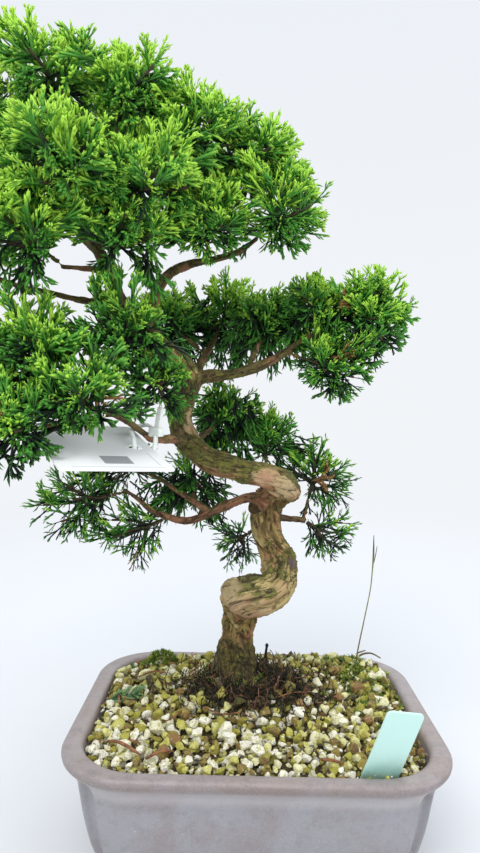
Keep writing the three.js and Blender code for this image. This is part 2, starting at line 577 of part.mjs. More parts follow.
// A leafy spray: one closed skin that starts as a three-sided stem. Any of its facets can
// grow into a further stem or be drawn out to a pointed shoot.
class Spray {
  constructor(root, ahead, radius) {
    this.vertices = [];
    this.fixed = [];
    this.facets = [];
    const side = new THREE.Vector3(0.3, 0.9, 0.2).cross(ahead).normalize();
    const other = ahead.clone().cross(side);
    this.rootRing = [0, 1, 2].map((i) => this.addVertex(root.clone()
      .addScaledVector(side, radius * Math.cos((2 * Math.PI * i) / 3))
      .addScaledVector(other, radius * Math.sin((2 * Math.PI * i) / 3))));
    this.fixed.push([this.rootRing[0], this.rootRing[2], this.rootRing[1]]);
  }

  addVertex(point) {
    this.vertices.push(point);
    return this.vertices.length - 1;
  }

  centreOf(ring) {
    return ring.reduce((sum, i) => sum.add(this.vertices[i]), new THREE.Vector3()).divideScalar(3);
  }

  normalOf(ring) {
    const [a, b, c] = ring.map((i) => this.vertices[i]);
    return b.clone().sub(a).cross(c.clone().sub(a)).normalize();
  }

  // Carry a ring of three points along a path and return the ring at its end
  extend(ring, path, radii) {
    let current = ring;
    path.forEach((point, step) => {
      const before = this.centreOf(current);
      const next = path[step + 1];
      const ahead = (next ? next.clone().sub(before) : point.clone().sub(before)).normalize();
      const side = this.vertices[current[0]].clone().sub(before);
      side.addScaledVector(ahead, -side.dot(ahead)).normalize();
      const other = ahead.clone().cross(side);
      const fresh = [0, 1, 2].map((i) => this.addVertex(point.clone()
        .addScaledVector(side, radii[step] * Math.cos((2 * Math.PI * i) / 3))
        .addScaledVector(other, radii[step] * Math.sin((2 * Math.PI * i) / 3))));
      for (let i = 0; i < 3; i += 1) {
        const j = (i + 1) % 3;
        const pair = this.facets.length;
        this.facets.push({ ring: [current[i], current[j], fresh[j]], ahead, pair, used: false });
        this.facets.push({ ring: [current[i], fresh[j], fresh[i]], ahead, pair, used: false });
      }
      current = fresh;
    });
    return current;
  }

  faces() {
    return [...this.fixed, ...this.facets.filter((facet) => !facet.used).map((facet) => facet.ring)];
  }

  // True where any of the fresh faces would cut through a face that is already there
  cuts(fresh) {
    const corners = (face) => face.map((i) => this.vertices[i]);
    const boxOf = (face) => new THREE.Box3().setFromPoints(corners(face));
    const present = this.faces().map((face) => ({ face, box: boxOf(face) }));
    return fresh.some((face) => {
      const box = boxOf(face);
      return present.some((other) => {
        const shared = face.filter((i) => other.face.includes(i)).length;
        return shared < 2 && box.intersectsBox(other.box) && trianglesCross(corners(face), corners(other.face));
      });
    });
  }

  // Draw a facet out to a point, unless that would cut the spray
  raise(facet, tip) {
    const [a, b, c] = facet.ring;
    const top = this.addVertex(tip);
    const fresh = [[a, b, top], [b, c, top], [c, a, top]];
    if (this.cuts(fresh)) {
      this.vertices.pop();
      return false;
    }
    this.fixed.push(...fresh);
    facet.used = true;
    return true;
  }

  // Grow a stem out of a facet or ring, unless it would cut the spray
  grow(ring, path, radii, facet = null) {
    const vertexCount = this.vertices.length;
    const facetCount = this.facets.length;
    if (facet) {
      facet.used = true;
    }
    const end = this.extend(ring, path, radii);
    const fresh = this.facets.splice(facetCount);
    if (this.cuts([...fresh.map((one) => one.ring), end])) {
      this.vertices.length = vertexCount;
      if (facet) {
        facet.used = false;
      }
      return null;
    }
    this.facets.push(...fresh);
    return end;
  }

  geometry() {
    return geometryOf(this.vertices, this.faces());
  }
}

// Even directions over a sphere
function evenDirections(count, random) {
  const golden = Math.PI * (3 - Math.sqrt(5));
  const turn = random() * 2 * Math.PI;
  return Array.from({ length: count }, (_, i) => {
    const height = 1 - (2 * (i + 0.5)) / count;
    const flat = Math.sqrt(1 - height * height);
    const angle = turn + golden * i;
    return new THREE.Vector3(flat * Math.cos(angle), flat * Math.sin(angle), height);
  });
}

// How far a ray runs before it leaves an ellipsoid
function wayOut(point, heading, centre, half) {
  const p = point.clone().sub(centre).divide(half);
  const d = heading.clone().divide(half);
  const a = d.dot(d);
  const b = p.dot(d);
  const c = p.dot(p) - 1;
  const root = b * b - a * c;
  return root > 0 ? (-b + Math.sqrt(root)) / a : 0;
}

// Draw the facets of a spray out to shoots that reach the pad's surface
function raiseShoots(spray, centre, half, owner, random, allowed = () => true) {
  const raised = [];
  for (const facet of spray.facets.filter((one) => !one.used)) {
    const base = spray.centreOf(facet.ring);
    const normal = spray.normalOf(facet.ring);
    const twin = raised.find((one) => one.pair === facet.pair);
    if (twin && random() > SHOOT.twinShare) {
      continue;
    }
    const sway = twin ? twin.sway : SHOOT.sway * (2 * random() - 1);
    const share = twin ? twin.share : THREE.MathUtils.lerp(...SHOOT.lengthShare, random());
    const heading = normal.clone()
      .addScaledVector(facet.ahead, SHOOT.lean)
      .addScaledVector(facet.ahead.clone().cross(normal), sway);
    heading.z += SHOOT.lift;
    if (twin) {
      heading.addScaledVector(base.clone().sub(twin.base).normalize(), SHOOT.spread);
    }
    heading.normalize();
    const room = wayOut(base, heading, centre, half) * share;
    for (let attempt = 0; attempt < SHOOT.tries && room < SHOOT.deepest; attempt += 1) {
      const length = THREE.MathUtils.clamp(room, SHOOT.shortest, SHOOT.longest) * (1 - SHOOT.shorten * attempt);
      const tip = base.clone().addScaledVector(heading, length);
      const foot = base.clone().addScaledVector(heading, SHOOT.footShare * length);
      const clear = isClear(foot, tip, SHOOT.footRadius, SHOOT.tipRadius, SHOOT_GAP, owner);
      if (clear && allowed(tip) && spray.raise(facet, tip)) {
        raised.push({ pair: facet.pair, base, sway, share });
        addRod(foot, tip, SHOOT.footRadius, SHOOT.tipRadius, owner);
        break;
      }
    }
  }
}

// Bent path from a facet to a point, leaving the facet square
function stemPath(start, normal, target) {
  const distance = start.distanceTo(target);
  const control = start.clone().addScaledVector(normal, SHOOT.stemBend * distance);
  const steps = Math.max(2, Math.round(distance / SHOOT.stemStep));
  return Array.from({ length: steps }, (_, i) => {
    const t = (i + 1) / steps;
    return start.clone().multiplyScalar((1 - t) * (1 - t))
      .addScaledVector(control, 2 * t * (1 - t))
      .addScaledVector(target, t * t);
  });
}

// Segments of a path, starting from a point before it
function segmentsOf(start, path) {
  return path.map((point, i) => [i ? path[i - 1] : start, point]);
}

// Grow a stem along a path where nothing is in the way, and return whether it grew
function growStem(spray, ring, start, path, owner, facet = null) {
  const radius = SHOOT.stemRadius;
  const segments = segmentsOf(start, path);
  const free = segments.slice(1).every(([a, b]) => isClear(a, b, radius, radius, SHOOT.stemGap, owner));
  const radii = path.map((_, i) => THREE.MathUtils.lerp(radius, SHOOT.stemEndRadius, (i + 1) / path.length));
  const end = free ? spray.grow(ring, path, radii, facet) : null;
  if (end) {
    segments.forEach(([a, b]) => addRod(a, b, radius, radius, owner));
    const last = segments[segments.length - 1];
    const ahead = last[1].clone().sub(last[0]).normalize();
    spray.facets.push({ ring: end, ahead, pair: spray.facets.length });
  }
  return Boolean(end);
}

function makePad(pad, index) {
  const random = seededRandom(100 + index);
  const centre = vec(pad.at);
  const half = vec(pad.half);
  const twig = padTwig(pad);
  const ahead = centre.clone().sub(twig.end).normalize();
  const root = twig.end.clone().addScaledVector(twig.end.clone().sub(twig.start).normalize(), GAP + 0.05);
  const spray = new Spray(root, ahead, SHOOT.rootRadius);
  const coreLength = Math.max(5, 0.75 * root.distanceTo(centre));
  const core = [0.35, 0.7, 1].map((share) => root.clone().addScaledVector(ahead, share * coreLength));
  const coreEnd = spray.extend(spray.rootRing, core, [1, 1, 0.9]);
  const coreFacets = [...spray.facets];
  segmentsOf(root, core).forEach(([a, b]) => addRod(a, b, 1, 1, pad.name));
  const stems = Math.round(THREE.MathUtils.clamp((half.x + half.y + half.z) / SHOOT.sizePerStem, 3, 6));
  const nearness = (point) => point.clone().sub(root).normalize().dot(ahead);
  const targets = evenDirections(stems * 2, random)
    .filter((direction) => direction.dot(ahead) > -0.35)
    .map((direction) => centre.clone().add(direction.multiply(half).multiplyScalar(SHOOT.stemReach)))
    .sort((p, q) => nearness(q) - nearness(p));
  const coreTip = spray.centreOf(coreEnd);
  if (!growStem(spray, coreEnd, coreTip, stemPath(coreTip, ahead, targets.shift()), pad.name)) {
    spray.facets.push({ ring: coreEnd, ahead, pair: spray.facets.length });
  }
  for (const target of targets) {
    const choices = coreFacets
      .filter((facet) => !facet.used)
      .map((facet) => {
        const start = spray.centreOf(facet.ring);
        const normal = spray.normalOf(facet.ring);
        return { facet, start, normal, match: target.clone().sub(start).normalize().dot(normal) };
      })
      .sort((p, q) => q.match - p.match);
    choices.slice(0, SHOOT.tries).some(({ facet, start, normal }) => (
      growStem(spray, facet.ring, start, stemPath(start, normal, target), pad.name, facet)
    ));
  }
  raiseShoots(spray, centre, half, pad.name, random);
  return spray.geometry();
}

// Tag: a thin card with a hole near the middle of one side
function makeTag() {
  const along = vec(TAG.alongSide).normalize();
  const front = vec(TAG.alongFront).normalize();
  const up = front.clone().cross(along).multiplyScalar(-1).normalize();
  const card = new THREE.Shape();
  const round = TAG.cornerRadius;
  card.moveTo(round, 0);
  card.lineTo(TAG.front - round, 0);
  card.quadraticCurveTo(TAG.front, 0, TAG.front, round);
  card.lineTo(TAG.front, TAG.side - round);
  card.quadraticCurveTo(TAG.front, TAG.side, TAG.front - round, TAG.side);
  card.lineTo(round, TAG.side);
  card.quadraticCurveTo(0, TAG.side, 0, TAG.side - round);
  card.lineTo(0, round);
  card.quadraticCurveTo(0, 0, round, 0);
  const hole = new THREE.Path();
  hole.absarc(TAG.holeInset, TAG.side / 2, TAG.holeRadius, 0, 2 * Math.PI, true);
  card.holes.push(hole);
  const sheet = new THREE.ExtrudeGeometry(card, {
    depth: TAG.thickness,
    bevelEnabled: false,
    curveSegments: 5,
  });
  const placed = new THREE.Matrix4().makeBasis(front, along, front.clone().cross(along));
  placed.setPosition(vec(TAG.corner).addScaledVector(up, -TAG.thickness / 2));
  sheet.applyMatrix4(placed);
  for (let across = TAG.clearPitch / 2; across < TAG.front; across += TAG.clearPitch) {
    const near = vec(TAG.corner).addScaledVector(front, across);
    addRod(near, near.clone().addScaledVector(along, TAG.side), TAG.clearRadius, TAG.clearRadius);
  }
  return solidOfGeometry(sheet);
}

// Flat band swept along stops with its width held in one direction
function bandAlong(stops, across, width, thickness, steps) {
  const curve = new THREE.CatmullRomCurve3(stops.map(vec), false, 'centripetal');
  const wide = vec(across).normalize();
  const rings = [];
  for (let step = 0; step <= steps; step += 1) {
    const centre = curve.getPoint(step / steps);
    const ahead = curve.getTangent(step / steps);
    const proud = ahead.clone().cross(wide).normalize();
    const corners = [[1, 1], [-1, 1], [-1, -1], [1, -1]];
    rings.push(corners.map(([w, h]) => centre.clone()
      .addScaledVector(wide, (w * width) / 2)
      .addScaledVector(proud, (h * thickness) / 2)));
  }
  return skinOver(rings);
}

// Tie: a locking head with the band looped through the tag and over the branch
function makeTie() {
  const band = bandAlong(TIE.loop, TIE.across, TIE.width, TIE.thickness, 24);
  const start = vec(TIE.loop[0]);
  const fromStart = (offset) => start.clone().add(vec(offset));
  const head = new THREE.BoxGeometry(...TIE.headSize);
  head.rotateZ(TIE.headTurn);
  head.translate(...fromStart(TIE.headOffset).toArray());
  const tailStops = TIE.tail.map(fromStart);
  const tail = bandAlong(tailStops.map((stop) => stop.toArray()), TIE.tailAcross, TIE.width, TIE.thickness, 4);
  for (let i = 0; i + 1 < TIE.loop.length; i += 1) {
    addRod(vec(TIE.loop[i]), vec(TIE.loop[i + 1]), TIE.clearRadius, TIE.clearRadius);
  }
  addRod(tailStops[0], tailStops[2], TIE.clearRadius, TIE.clearRadius);
  return joined([band, solidOfGeometry(head), tail]);
}

// Name marker: a plastic strip pushed in at the wall, leaning sideways and over the rim
function markerBand(extra) {
  const width = MARKER.width + 2 * extra;
  const thickness = MARKER.thickness + 2 * extra;
  return bandAlong([MARKER.foot, MARKER.top], MARKER.across, width, thickness, MARKER.steps);
}

// Dry grass stalk with a side awn
function stalkTube(extra) {
  const withRadius = (stops, last) => stops.map((stop, i) => [
    ...stop, THREE.MathUtils.lerp(STALK.radius, last, i / (stops.length - 1)),
  ]);
  const stem = tubeAlong(routeOf(withRadius(STALK.route, 0.3)), { sides: 4, steps: 9, extra });
  const awn = tubeAlong(routeOf(withRadius(STALK.awn, 0.3)), { sides: 4, steps: 2, extra });
  return stem.add(awn);
}

// Small green sprig that lies along the soil
function makeSprig() {
  const random = seededRandom(71);
  const turn = THREE.MathUtils.degToRad(SPRIG.heading);
  const along = (share) => {
    const x = SPRIG.at[0] + Math.cos(turn) * SPRIG.length * share;
    const y = SPRIG.at[1] + Math.sin(turn) * SPRIG.length * share;
    return new THREE.Vector3(x, y, soilHeight(x, y) + SPRIG.radius + GAP);
  };
  const root = along(-0.5);
  const ahead = along(-0.4).sub(root).normalize();
  const spray = new Spray(root, ahead, SPRIG.radius);
  growStem(spray, spray.rootRing, root, [-0.32, -0.14, 0.04, 0.22].map(along), 'sprig');
  const reach = new THREE.Vector3(0.6, 0.45, 0.35).multiplyScalar(SPRIG.length);
  const aboveSoil = (tip) => tip.z > soilHeight(tip.x, tip.y) + 2 * GAP;
  raiseShoots(spray, along(0), reach, 'sprig', random, aboveSoil);
  return spray.geometry();
}

// Materials and assembly
const tree = new THREE.Group();
function place(name, source, color, roughness, metalness = 0) {
  const geometry = source instanceof THREE.BufferGeometry ? source : geometryOfSolid(source);
  const mesh = new THREE.Mesh(geometry, new THREE.MeshStandardMaterial({ color, roughness, metalness }));
  mesh.name = name;
  tree.add(mesh);
}

place('pot', makePot(), 0x8c7f80, 0.6);
place('drain_mesh_left', makeDrainMesh(-POT.drainX), 0x26282a, 0.7);
place('drain_mesh_right', makeDrainMesh(POT.drainX), 0x26282a, 0.7);
place('tag', makeTag(), 0xf2f3f4, 0.45);
place('tag_tie', makeTie(), 0xeef1ee, 0.4);
place('name_marker', markerBand(0), 0xa5e0cc, 0.45);
place('grass_stalk', stalkTube(0), 0x8d8b6d, 0.8);
place('wood', makeWood(), 0x9a8057, 0.9);
const meshPockets = [-1, 1].map((sign) => boxSolid(
  2 * (MESH.halfSide + GAP), 2 * (MESH.halfSide + GAP), 2 * MESH.thickness + 2 * GAP,
  sign * POT.drainX, 0, POT.floorTop + GAP,
));
place('soil', makeSoil([...woodSockets(), markerBand(GAP), stalkTube(GAP), ...meshPockets]), 0x8d8a52, 0.95);
place('fallen_sprig', makeSprig(), 0x4f8a5a, 0.7);
PADS.forEach((pad, index) => {
  place(`foliage_${pad.name}`, makePad(pad, index), 0x3f8a2a, 0.6);
});

const box = new THREE.Box3().setFromObject(tree);
tree.position.set(-(box.min.x + box.max.x) / 2, -(box.min.y + box.max.y) / 2, -box.min.z);

export default tree;
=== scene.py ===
import math
import random

import bmesh
import bpy
import numpy as np
from bpy.props import FloatProperty, FloatVectorProperty, IntProperty, PointerProperty
from mathutils import Matrix, Vector, kdtree, noise


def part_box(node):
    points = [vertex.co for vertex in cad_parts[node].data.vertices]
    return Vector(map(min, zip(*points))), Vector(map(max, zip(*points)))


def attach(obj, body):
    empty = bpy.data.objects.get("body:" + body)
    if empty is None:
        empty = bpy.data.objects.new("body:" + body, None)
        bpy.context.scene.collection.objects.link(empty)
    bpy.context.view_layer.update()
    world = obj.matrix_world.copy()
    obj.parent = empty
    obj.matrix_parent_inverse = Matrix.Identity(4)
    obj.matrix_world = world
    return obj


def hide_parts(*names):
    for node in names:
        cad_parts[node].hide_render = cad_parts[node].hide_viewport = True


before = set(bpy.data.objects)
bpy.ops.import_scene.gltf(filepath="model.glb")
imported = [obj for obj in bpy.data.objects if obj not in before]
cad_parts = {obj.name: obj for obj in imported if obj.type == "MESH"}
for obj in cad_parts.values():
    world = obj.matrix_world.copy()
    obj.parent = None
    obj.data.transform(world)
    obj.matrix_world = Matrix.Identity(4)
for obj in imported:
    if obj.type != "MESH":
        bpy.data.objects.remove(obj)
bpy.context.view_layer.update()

bl_info = {
    "name": "Juniper bonsai",
    "version": (1, 0, 0),
    "blender": (4, 5, 0),
    "location": "3D View > Sidebar > Bonsai",
    "description": "Juniper bonsai in a stoneware pot, dressed over its packed solids",
    "category": "Object",
}

MM = 0.001
POT_LOW, POT_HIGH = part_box("pot")
POT_CENTRE = Vector(((POT_LOW.x + POT_HIGH.x) / 2, (POT_LOW.y + POT_HIGH.y) / 2, 0))


def at_pot(x, y, z):
    """Place in metres of a point given in millimetres from the middle of the pot's foot."""
    return POT_CENTRE + Vector((x, y, z)) * MM


def leaning(lot, spread, rise=0.0):
    """Random step to the sides with a fixed rise."""
    return Vector((lot.gauss(0, spread), lot.gauss(0, spread), rise))


def blend(low, high, share):
    return low + (high - low) * share


def soft_step(value, start, end):
    """0 below start, 1 above end, and a smooth rise between them."""
    share = min(1, max(0, (value - start) / (end - start)))
    return share * share * (3 - 2 * share)


def hump(value, width):
    return math.exp(-((value / width) ** 2))


# Node trees


# Numbers of the Mix node's sockets for colours, since its sockets for numbers have the same names
MIX_SHARE, MIX_FIRST, MIX_SECOND, MIX_RESULT = 0, 6, 7, 2


class Value:
    """An output of a node. Arithmetic with it adds Math nodes to the same tree."""

    def __init__(self, nodes, socket):
        self.nodes = nodes
        self.socket = socket

    def math(self, operation, *terms):
        return self.nodes.add("ShaderNodeMath", {"operation": operation}, dict(enumerate(terms)))

    def below(self, limit):
        return self.math("LESS_THAN", self, limit)

    def above(self, limit):
        return self.math("GREATER_THAN", self, limit)

    def capped(self):
        return self.math("MINIMUM", self, 1.0)

    def output(self, name):
        """Another output of the same node."""
        return Value(self.nodes, self.socket.node.outputs[name])

    def __add__(self, other):
        return self.math("ADD", self, other)

    def __radd__(self, other):
        return self.math("ADD", other, self)

    def __sub__(self, other):
        return self.math("SUBTRACT", self, other)

    def __rsub__(self, other):
        return self.math("SUBTRACT", other, self)

    def __mul__(self, other):
        return self.math("MULTIPLY", self, other)

    def rise(self, start, end):
        """0 below start, 1 above end, smooth between them."""
        return self.nodes.add(
            "ShaderNodeMapRange",
            {"interpolation_type": "SMOOTHSTEP"},
            {"Value": self, "From Min": start, "From Max": end},
        )


class Nodes:
    """Adds nodes to one shader or geometry tree."""

    def __init__(self, tree):
        self.tree = tree

    def add(self, kind, settings=None, inputs=None, output=0):
        """Output of a new node, whose settings are made first, then its sockets' values or links."""
        node = self.tree.nodes.new(kind)
        for name, setting in (settings or {}).items():
            if name == "stops":
                self._set_ramp(node.color_ramp, setting)
            else:
                setattr(node, name, setting)
        for name, content in (inputs or {}).items():
            socket = node.inputs[name]
            if isinstance(content, Value):
                self.tree.links.new(content.socket, socket)
            else:
                socket.default_value = content
        return Value(self, node.outputs[output]) if node.outputs else node

    @staticmethod
    def _set_ramp(ramp, stops):
        while len(ramp.elements) < len(stops):
            ramp.elements.new(1.0)
        for element, (place, colour) in zip(ramp.elements, stops):
            element.position = place
            element.color = colour

    def mix(self, share, first, second):
        """Mix of two colours."""
        inputs = {MIX_SHARE: share, MIX_FIRST: first, MIX_SECOND: second}
        return self.add("ShaderNodeMix", {"data_type": "RGBA"}, inputs, output=MIX_RESULT)

    def place(self):
        """Place on the piece, in its own coordinates."""
        return self.add("ShaderNodeTexCoord", output="Object")

    def part(self, vector, axis):
        """One component of a vector or colour."""
        return self.add("ShaderNodeSeparateXYZ", {}, {0: vector}, output=axis)

    def attribute(self, name, output="Fac"):
        return self.add("ShaderNodeAttribute", {"attribute_name": name}, output=output)

    def noise(self, vector, scale, detail, roughness, distortion=0.0):
        inputs = {"Vector": vector, "Scale": scale, "Detail": detail, "Roughness": roughness}
        return self.add("ShaderNodeTexNoise", {}, {**inputs, "Distortion": distortion})

    def cells(self, vector, scale, output="Distance"):
        return self.add("ShaderNodeTexVoronoi", {}, {"Vector": vector, "Scale": scale}, output)

    def stretched(self, vector, scale):
        return self.add("ShaderNodeMapping", {}, {"Vector": vector, "Scale": scale})

    def surface(self, colour, roughness, relief=None, others=None):
        """Principled shader as the material's surface. Relief is a height, distance and strength."""
        settings = {"Base Color": colour, "Roughness": roughness, **(others or {})}
        if relief:
            names = ("Height", "Distance", "Strength")
            settings["Normal"] = self.add("ShaderNodeBump", {}, dict(zip(names, relief)))
        shader = self.add("ShaderNodeBsdfPrincipled", {}, settings)
        self.add("ShaderNodeOutputMaterial", {}, {"Surface": shader})


def linear(red, green, blue):
    """Linear colour from screen values out of 255."""

    def channel(value):
        share = value / 255
        return share / 12.92 if share <= 0.04045 else ((share + 0.055) / 1.055) ** 2.4

    return (channel(red), channel(green), channel(blue), 1.0)


def node_material(fill):
    """Turns a function that fills a tree into one that gives its material, made only once."""
    kept = []

    def made():
        if not kept:
            kept.append(bpy.data.materials.new(fill.__name__))
            kept[0].use_nodes = True
            kept[0].node_tree.nodes.clear()
            fill(Nodes(kept[0].node_tree))
        return kept[0]

    made.__doc__ = fill.__doc__
    return made


# Meshes


# Vertices of the CAD that lie closer than this, in metres, count as one
MERGING_STEP = 2e-6


def store(mesh, name, values):
    """Point attribute with one number or one vector for each vertex."""
    values = np.asarray(values)
    if values.ndim == 2:
        kind, field = "FLOAT_VECTOR", "vector"
    elif values.dtype.kind == "i":
        kind, field = "INT", "value"
    else:
        kind, field = "FLOAT", "value"
    layer = mesh.attributes.new(name, kind, "POINT")
    layer.data.foreach_set(field, values.astype(np.int32 if kind == "INT" else np.float32).ravel())


def mesh_of(name, points, faces, attributes=None):
    mesh = bpy.data.meshes.new(name)
    mesh.from_pydata([tuple(point) for point in points], [], [tuple(face) for face in faces])
    for key, values in (attributes or {}).items():
        store(mesh, key, values)
    mesh.update()
    return mesh


def shade_smooth(mesh):
    mesh.polygons.foreach_set("use_smooth", [True] * len(mesh.polygons))
    mesh.update()


def linked(name, data):
    """New object in the scene."""
    made = bpy.data.objects.new(name, data)
    bpy.context.scene.collection.objects.link(made)
    return made


def applied(source, modifiers=()):
    """Plain mesh of an object or mesh after these modifiers, given as (type, settings)."""
    made = linked(source.name, source) if isinstance(source, bpy.types.Mesh) else source
    for kind, settings in modifiers:
        modifier = made.modifiers.new(kind, kind)
        for name, setting in settings.items():
            setattr(modifier, name, setting)
    bpy.context.view_layer.update()
    evaluated = made.evaluated_get(bpy.context.evaluated_depsgraph_get())
    mesh = bpy.data.meshes.new_from_object(evaluated)
    bpy.data.objects.remove(made)
    return mesh


def joined(name, meshes):
    """One mesh out of several, without their attributes."""
    points, faces, offset = [], [], 0
    for mesh in meshes:
        points += [vertex.co.copy() for vertex in mesh.vertices]
        faces += [[offset + i for i in polygon.vertices] for polygon in mesh.polygons]
        offset += len(mesh.vertices)
    return mesh_of(name, points, faces)


def add_piece(name, mesh, material, replaces=()):
    """Puts a finished mesh in the scene as a piece that rides on the part."""
    mesh.name = name
    mesh.materials.clear()
    mesh.materials.append(material)
    piece = linked(name, mesh)
    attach(piece, "root")
    if replaces:
        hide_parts(*replaces)


def merged_copy(node):
    """Vertices and triangles of a CAD node with its doubled vertices merged, as arrays."""
    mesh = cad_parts[node].data
    places = np.zeros(len(mesh.vertices) * 3)
    mesh.vertices.foreach_get("co", places)
    places = places.reshape(-1, 3)
    steps = np.round(places / MERGING_STEP)
    _, first, index = np.unique(steps, axis=0, return_index=True, return_inverse=True)
    triangles = index.ravel()[np.array([polygon.vertices for polygon in mesh.polygons])]
    whole = [len(set(triangle)) == 3 for triangle in triangles]
    return places[first], triangles[whole]


class Route:
    """Centre line of a stem through stops of x, y, z and radius, with frames along it."""

    def __init__(self, stops, step):
        stops = np.asarray(stops, float)
        places = stops[:, :3]
        guide = np.vstack([2 * places[0] - places[1], places, 2 * places[-1] - places[-2]])
        points, radii = [], []
        for i in range(len(places) - 1):
            count = max(2, int(math.ceil(np.linalg.norm(places[i + 1] - places[i]) / step)))
            last = i == len(places) - 2
            for k in range(count + (1 if last else 0)):
                share = k / count
                points.append(self._between(guide[i : i + 4], share))
                radii.append(blend(stops[i, 3], stops[i + 1, 3], share))
        self.points = np.array(points)
        self.radii = np.array(radii)
        steps = np.linalg.norm(np.diff(self.points, axis=0), axis=1)
        self.along = np.concatenate([[0], np.cumsum(steps)])
        self.ahead = np.gradient(self.points, axis=0)
        self.ahead /= np.linalg.norm(self.ahead, axis=1)[:, None]
        self._carry_frames()

    @staticmethod
    def _between(guide, share):
        """Centripetal curve between the middle two of four points."""
        times = [0.0]
        for a, b in zip(guide, guide[1:]):
            times.append(times[-1] + max(1e-6, np.linalg.norm(b - a) ** 0.5))
        t = blend(times[1], times[2], share)

        def between(a, b, start, end):
            return (a * (end - t) + b * (t - start)) / (end - start)

        first = [between(guide[i], guide[i + 1], times[i], times[i + 1]) for i in range(3)]
        second = [between(first[i], first[i + 1], times[i], times[i + 2]) for i in range(2)]
        return between(second[0], second[1], times[1], times[2])

    def _carry_frames(self):
        side = np.cross([0, 1, 0], self.ahead[0])
        if np.linalg.norm(side) < 0.3:
            side = np.cross([1, 0, 0], self.ahead[0])
        self.side = np.zeros_like(self.points)
        for i, ahead in enumerate(self.ahead):
            side = side - ahead * side.dot(ahead)
            side = side / np.linalg.norm(side)
            self.side[i] = side
        self.other = np.cross(self.ahead, self.side)

    def tube(self, sides):
        """Points and faces of a closed round tube along the route."""
        turns = 2 * np.pi * np.arange(sides) / sides
        rings = (
            self.points[:, None]
            + self.radii[:, None, None] * np.cos(turns)[None, :, None] * self.side[:, None]
            + self.radii[:, None, None] * np.sin(turns)[None, :, None] * self.other[:, None]
        )
        return rings.reshape(-1, 3), tube_faces(len(self.points), sides)


def tube_faces(rings, sides):
    """Faces that skin rings of points, with both ends closed."""
    faces = []
    for ring in range(rings - 1):
        for i in range(sides):
            j = (i + 1) % sides
            low, high = ring * sides, (ring + 1) * sides
            faces.append((low + i, low + j, high + j, high + i))
    faces.append(tuple(reversed(range(sides))))
    faces.append(tuple((rings - 1) * sides + i for i in range(sides)))
    return faces


# Repeated shapes laid by geometry nodes


def scatter_tree():
    """Geometry tree that lays shapes on points, as the points' own numbers say."""
    tree = bpy.data.node_groups.new("lay_shapes", "GeometryNodeTree")
    face = tree.interface
    face.new_socket("Geometry", in_out="OUTPUT", socket_type="NodeSocketGeometry")
    face.new_socket("Points", in_out="INPUT", socket_type="NodeSocketGeometry")
    for name, kind, default in (
        ("Shapes", "NodeSocketCollection", None), ("Finish", "NodeSocketMaterial", None),
        ("Size spread", "NodeSocketFloat", 0.1), ("Seed", "NodeSocketInt", 1),
    ):
        socket = face.new_socket(name, in_out="INPUT", socket_type=kind)
        if default is not None:
            socket.default_value = default
    nodes = Nodes(tree)
    given = nodes.add("NodeGroupInput")

    def own(name, kind):
        return nodes.add("GeometryNodeInputNamedAttribute", {"data_type": kind}, {"Name": name})

    shapes = nodes.add(
        "GeometryNodeCollectionInfo", {},
        {"Collection": given.output("Shapes"), "Separate Children": True, "Reset Children": True},
    )
    heading, turn = own("heading", "FLOAT_VECTOR"), own("turn", "FLOAT")
    facing = nodes.add("FunctionNodeAlignRotationToVector", {"axis": "Z"}, {"Vector": heading})
    spin = nodes.add("FunctionNodeAxisAngleToRotation", {}, {"Axis": (0, 0, 1), "Angle": turn})
    rotation = nodes.add(
        "FunctionNodeRotateRotation", {"rotation_space": "LOCAL"},
        {"Rotation": facing, "Rotate By": spin},
    )
    chance = nodes.add(
        "FunctionNodeRandomValue", {"data_type": "FLOAT"}, {"Seed": given.output("Seed")}, output=1,
    )
    size = own("reach", "FLOAT") * (1 + (chance - 0.5) * given.output("Size spread"))
    laid = nodes.add(
        "GeometryNodeInstanceOnPoints", {},
        {
            "Points": given.output("Points"), "Instance": shapes, "Pick Instance": True,
            "Instance Index": own("pick", "INT"), "Rotation": rotation, "Scale": size,
        },
    )
    real = nodes.add("GeometryNodeRealizeInstances", {}, {"Geometry": laid})
    finished = nodes.add(
        "GeometryNodeSetMaterial", {}, {"Geometry": real, "Material": given.output("Finish")},
    )
    nodes.add("NodeGroupOutput", {}, {"Geometry": finished})
    return tree


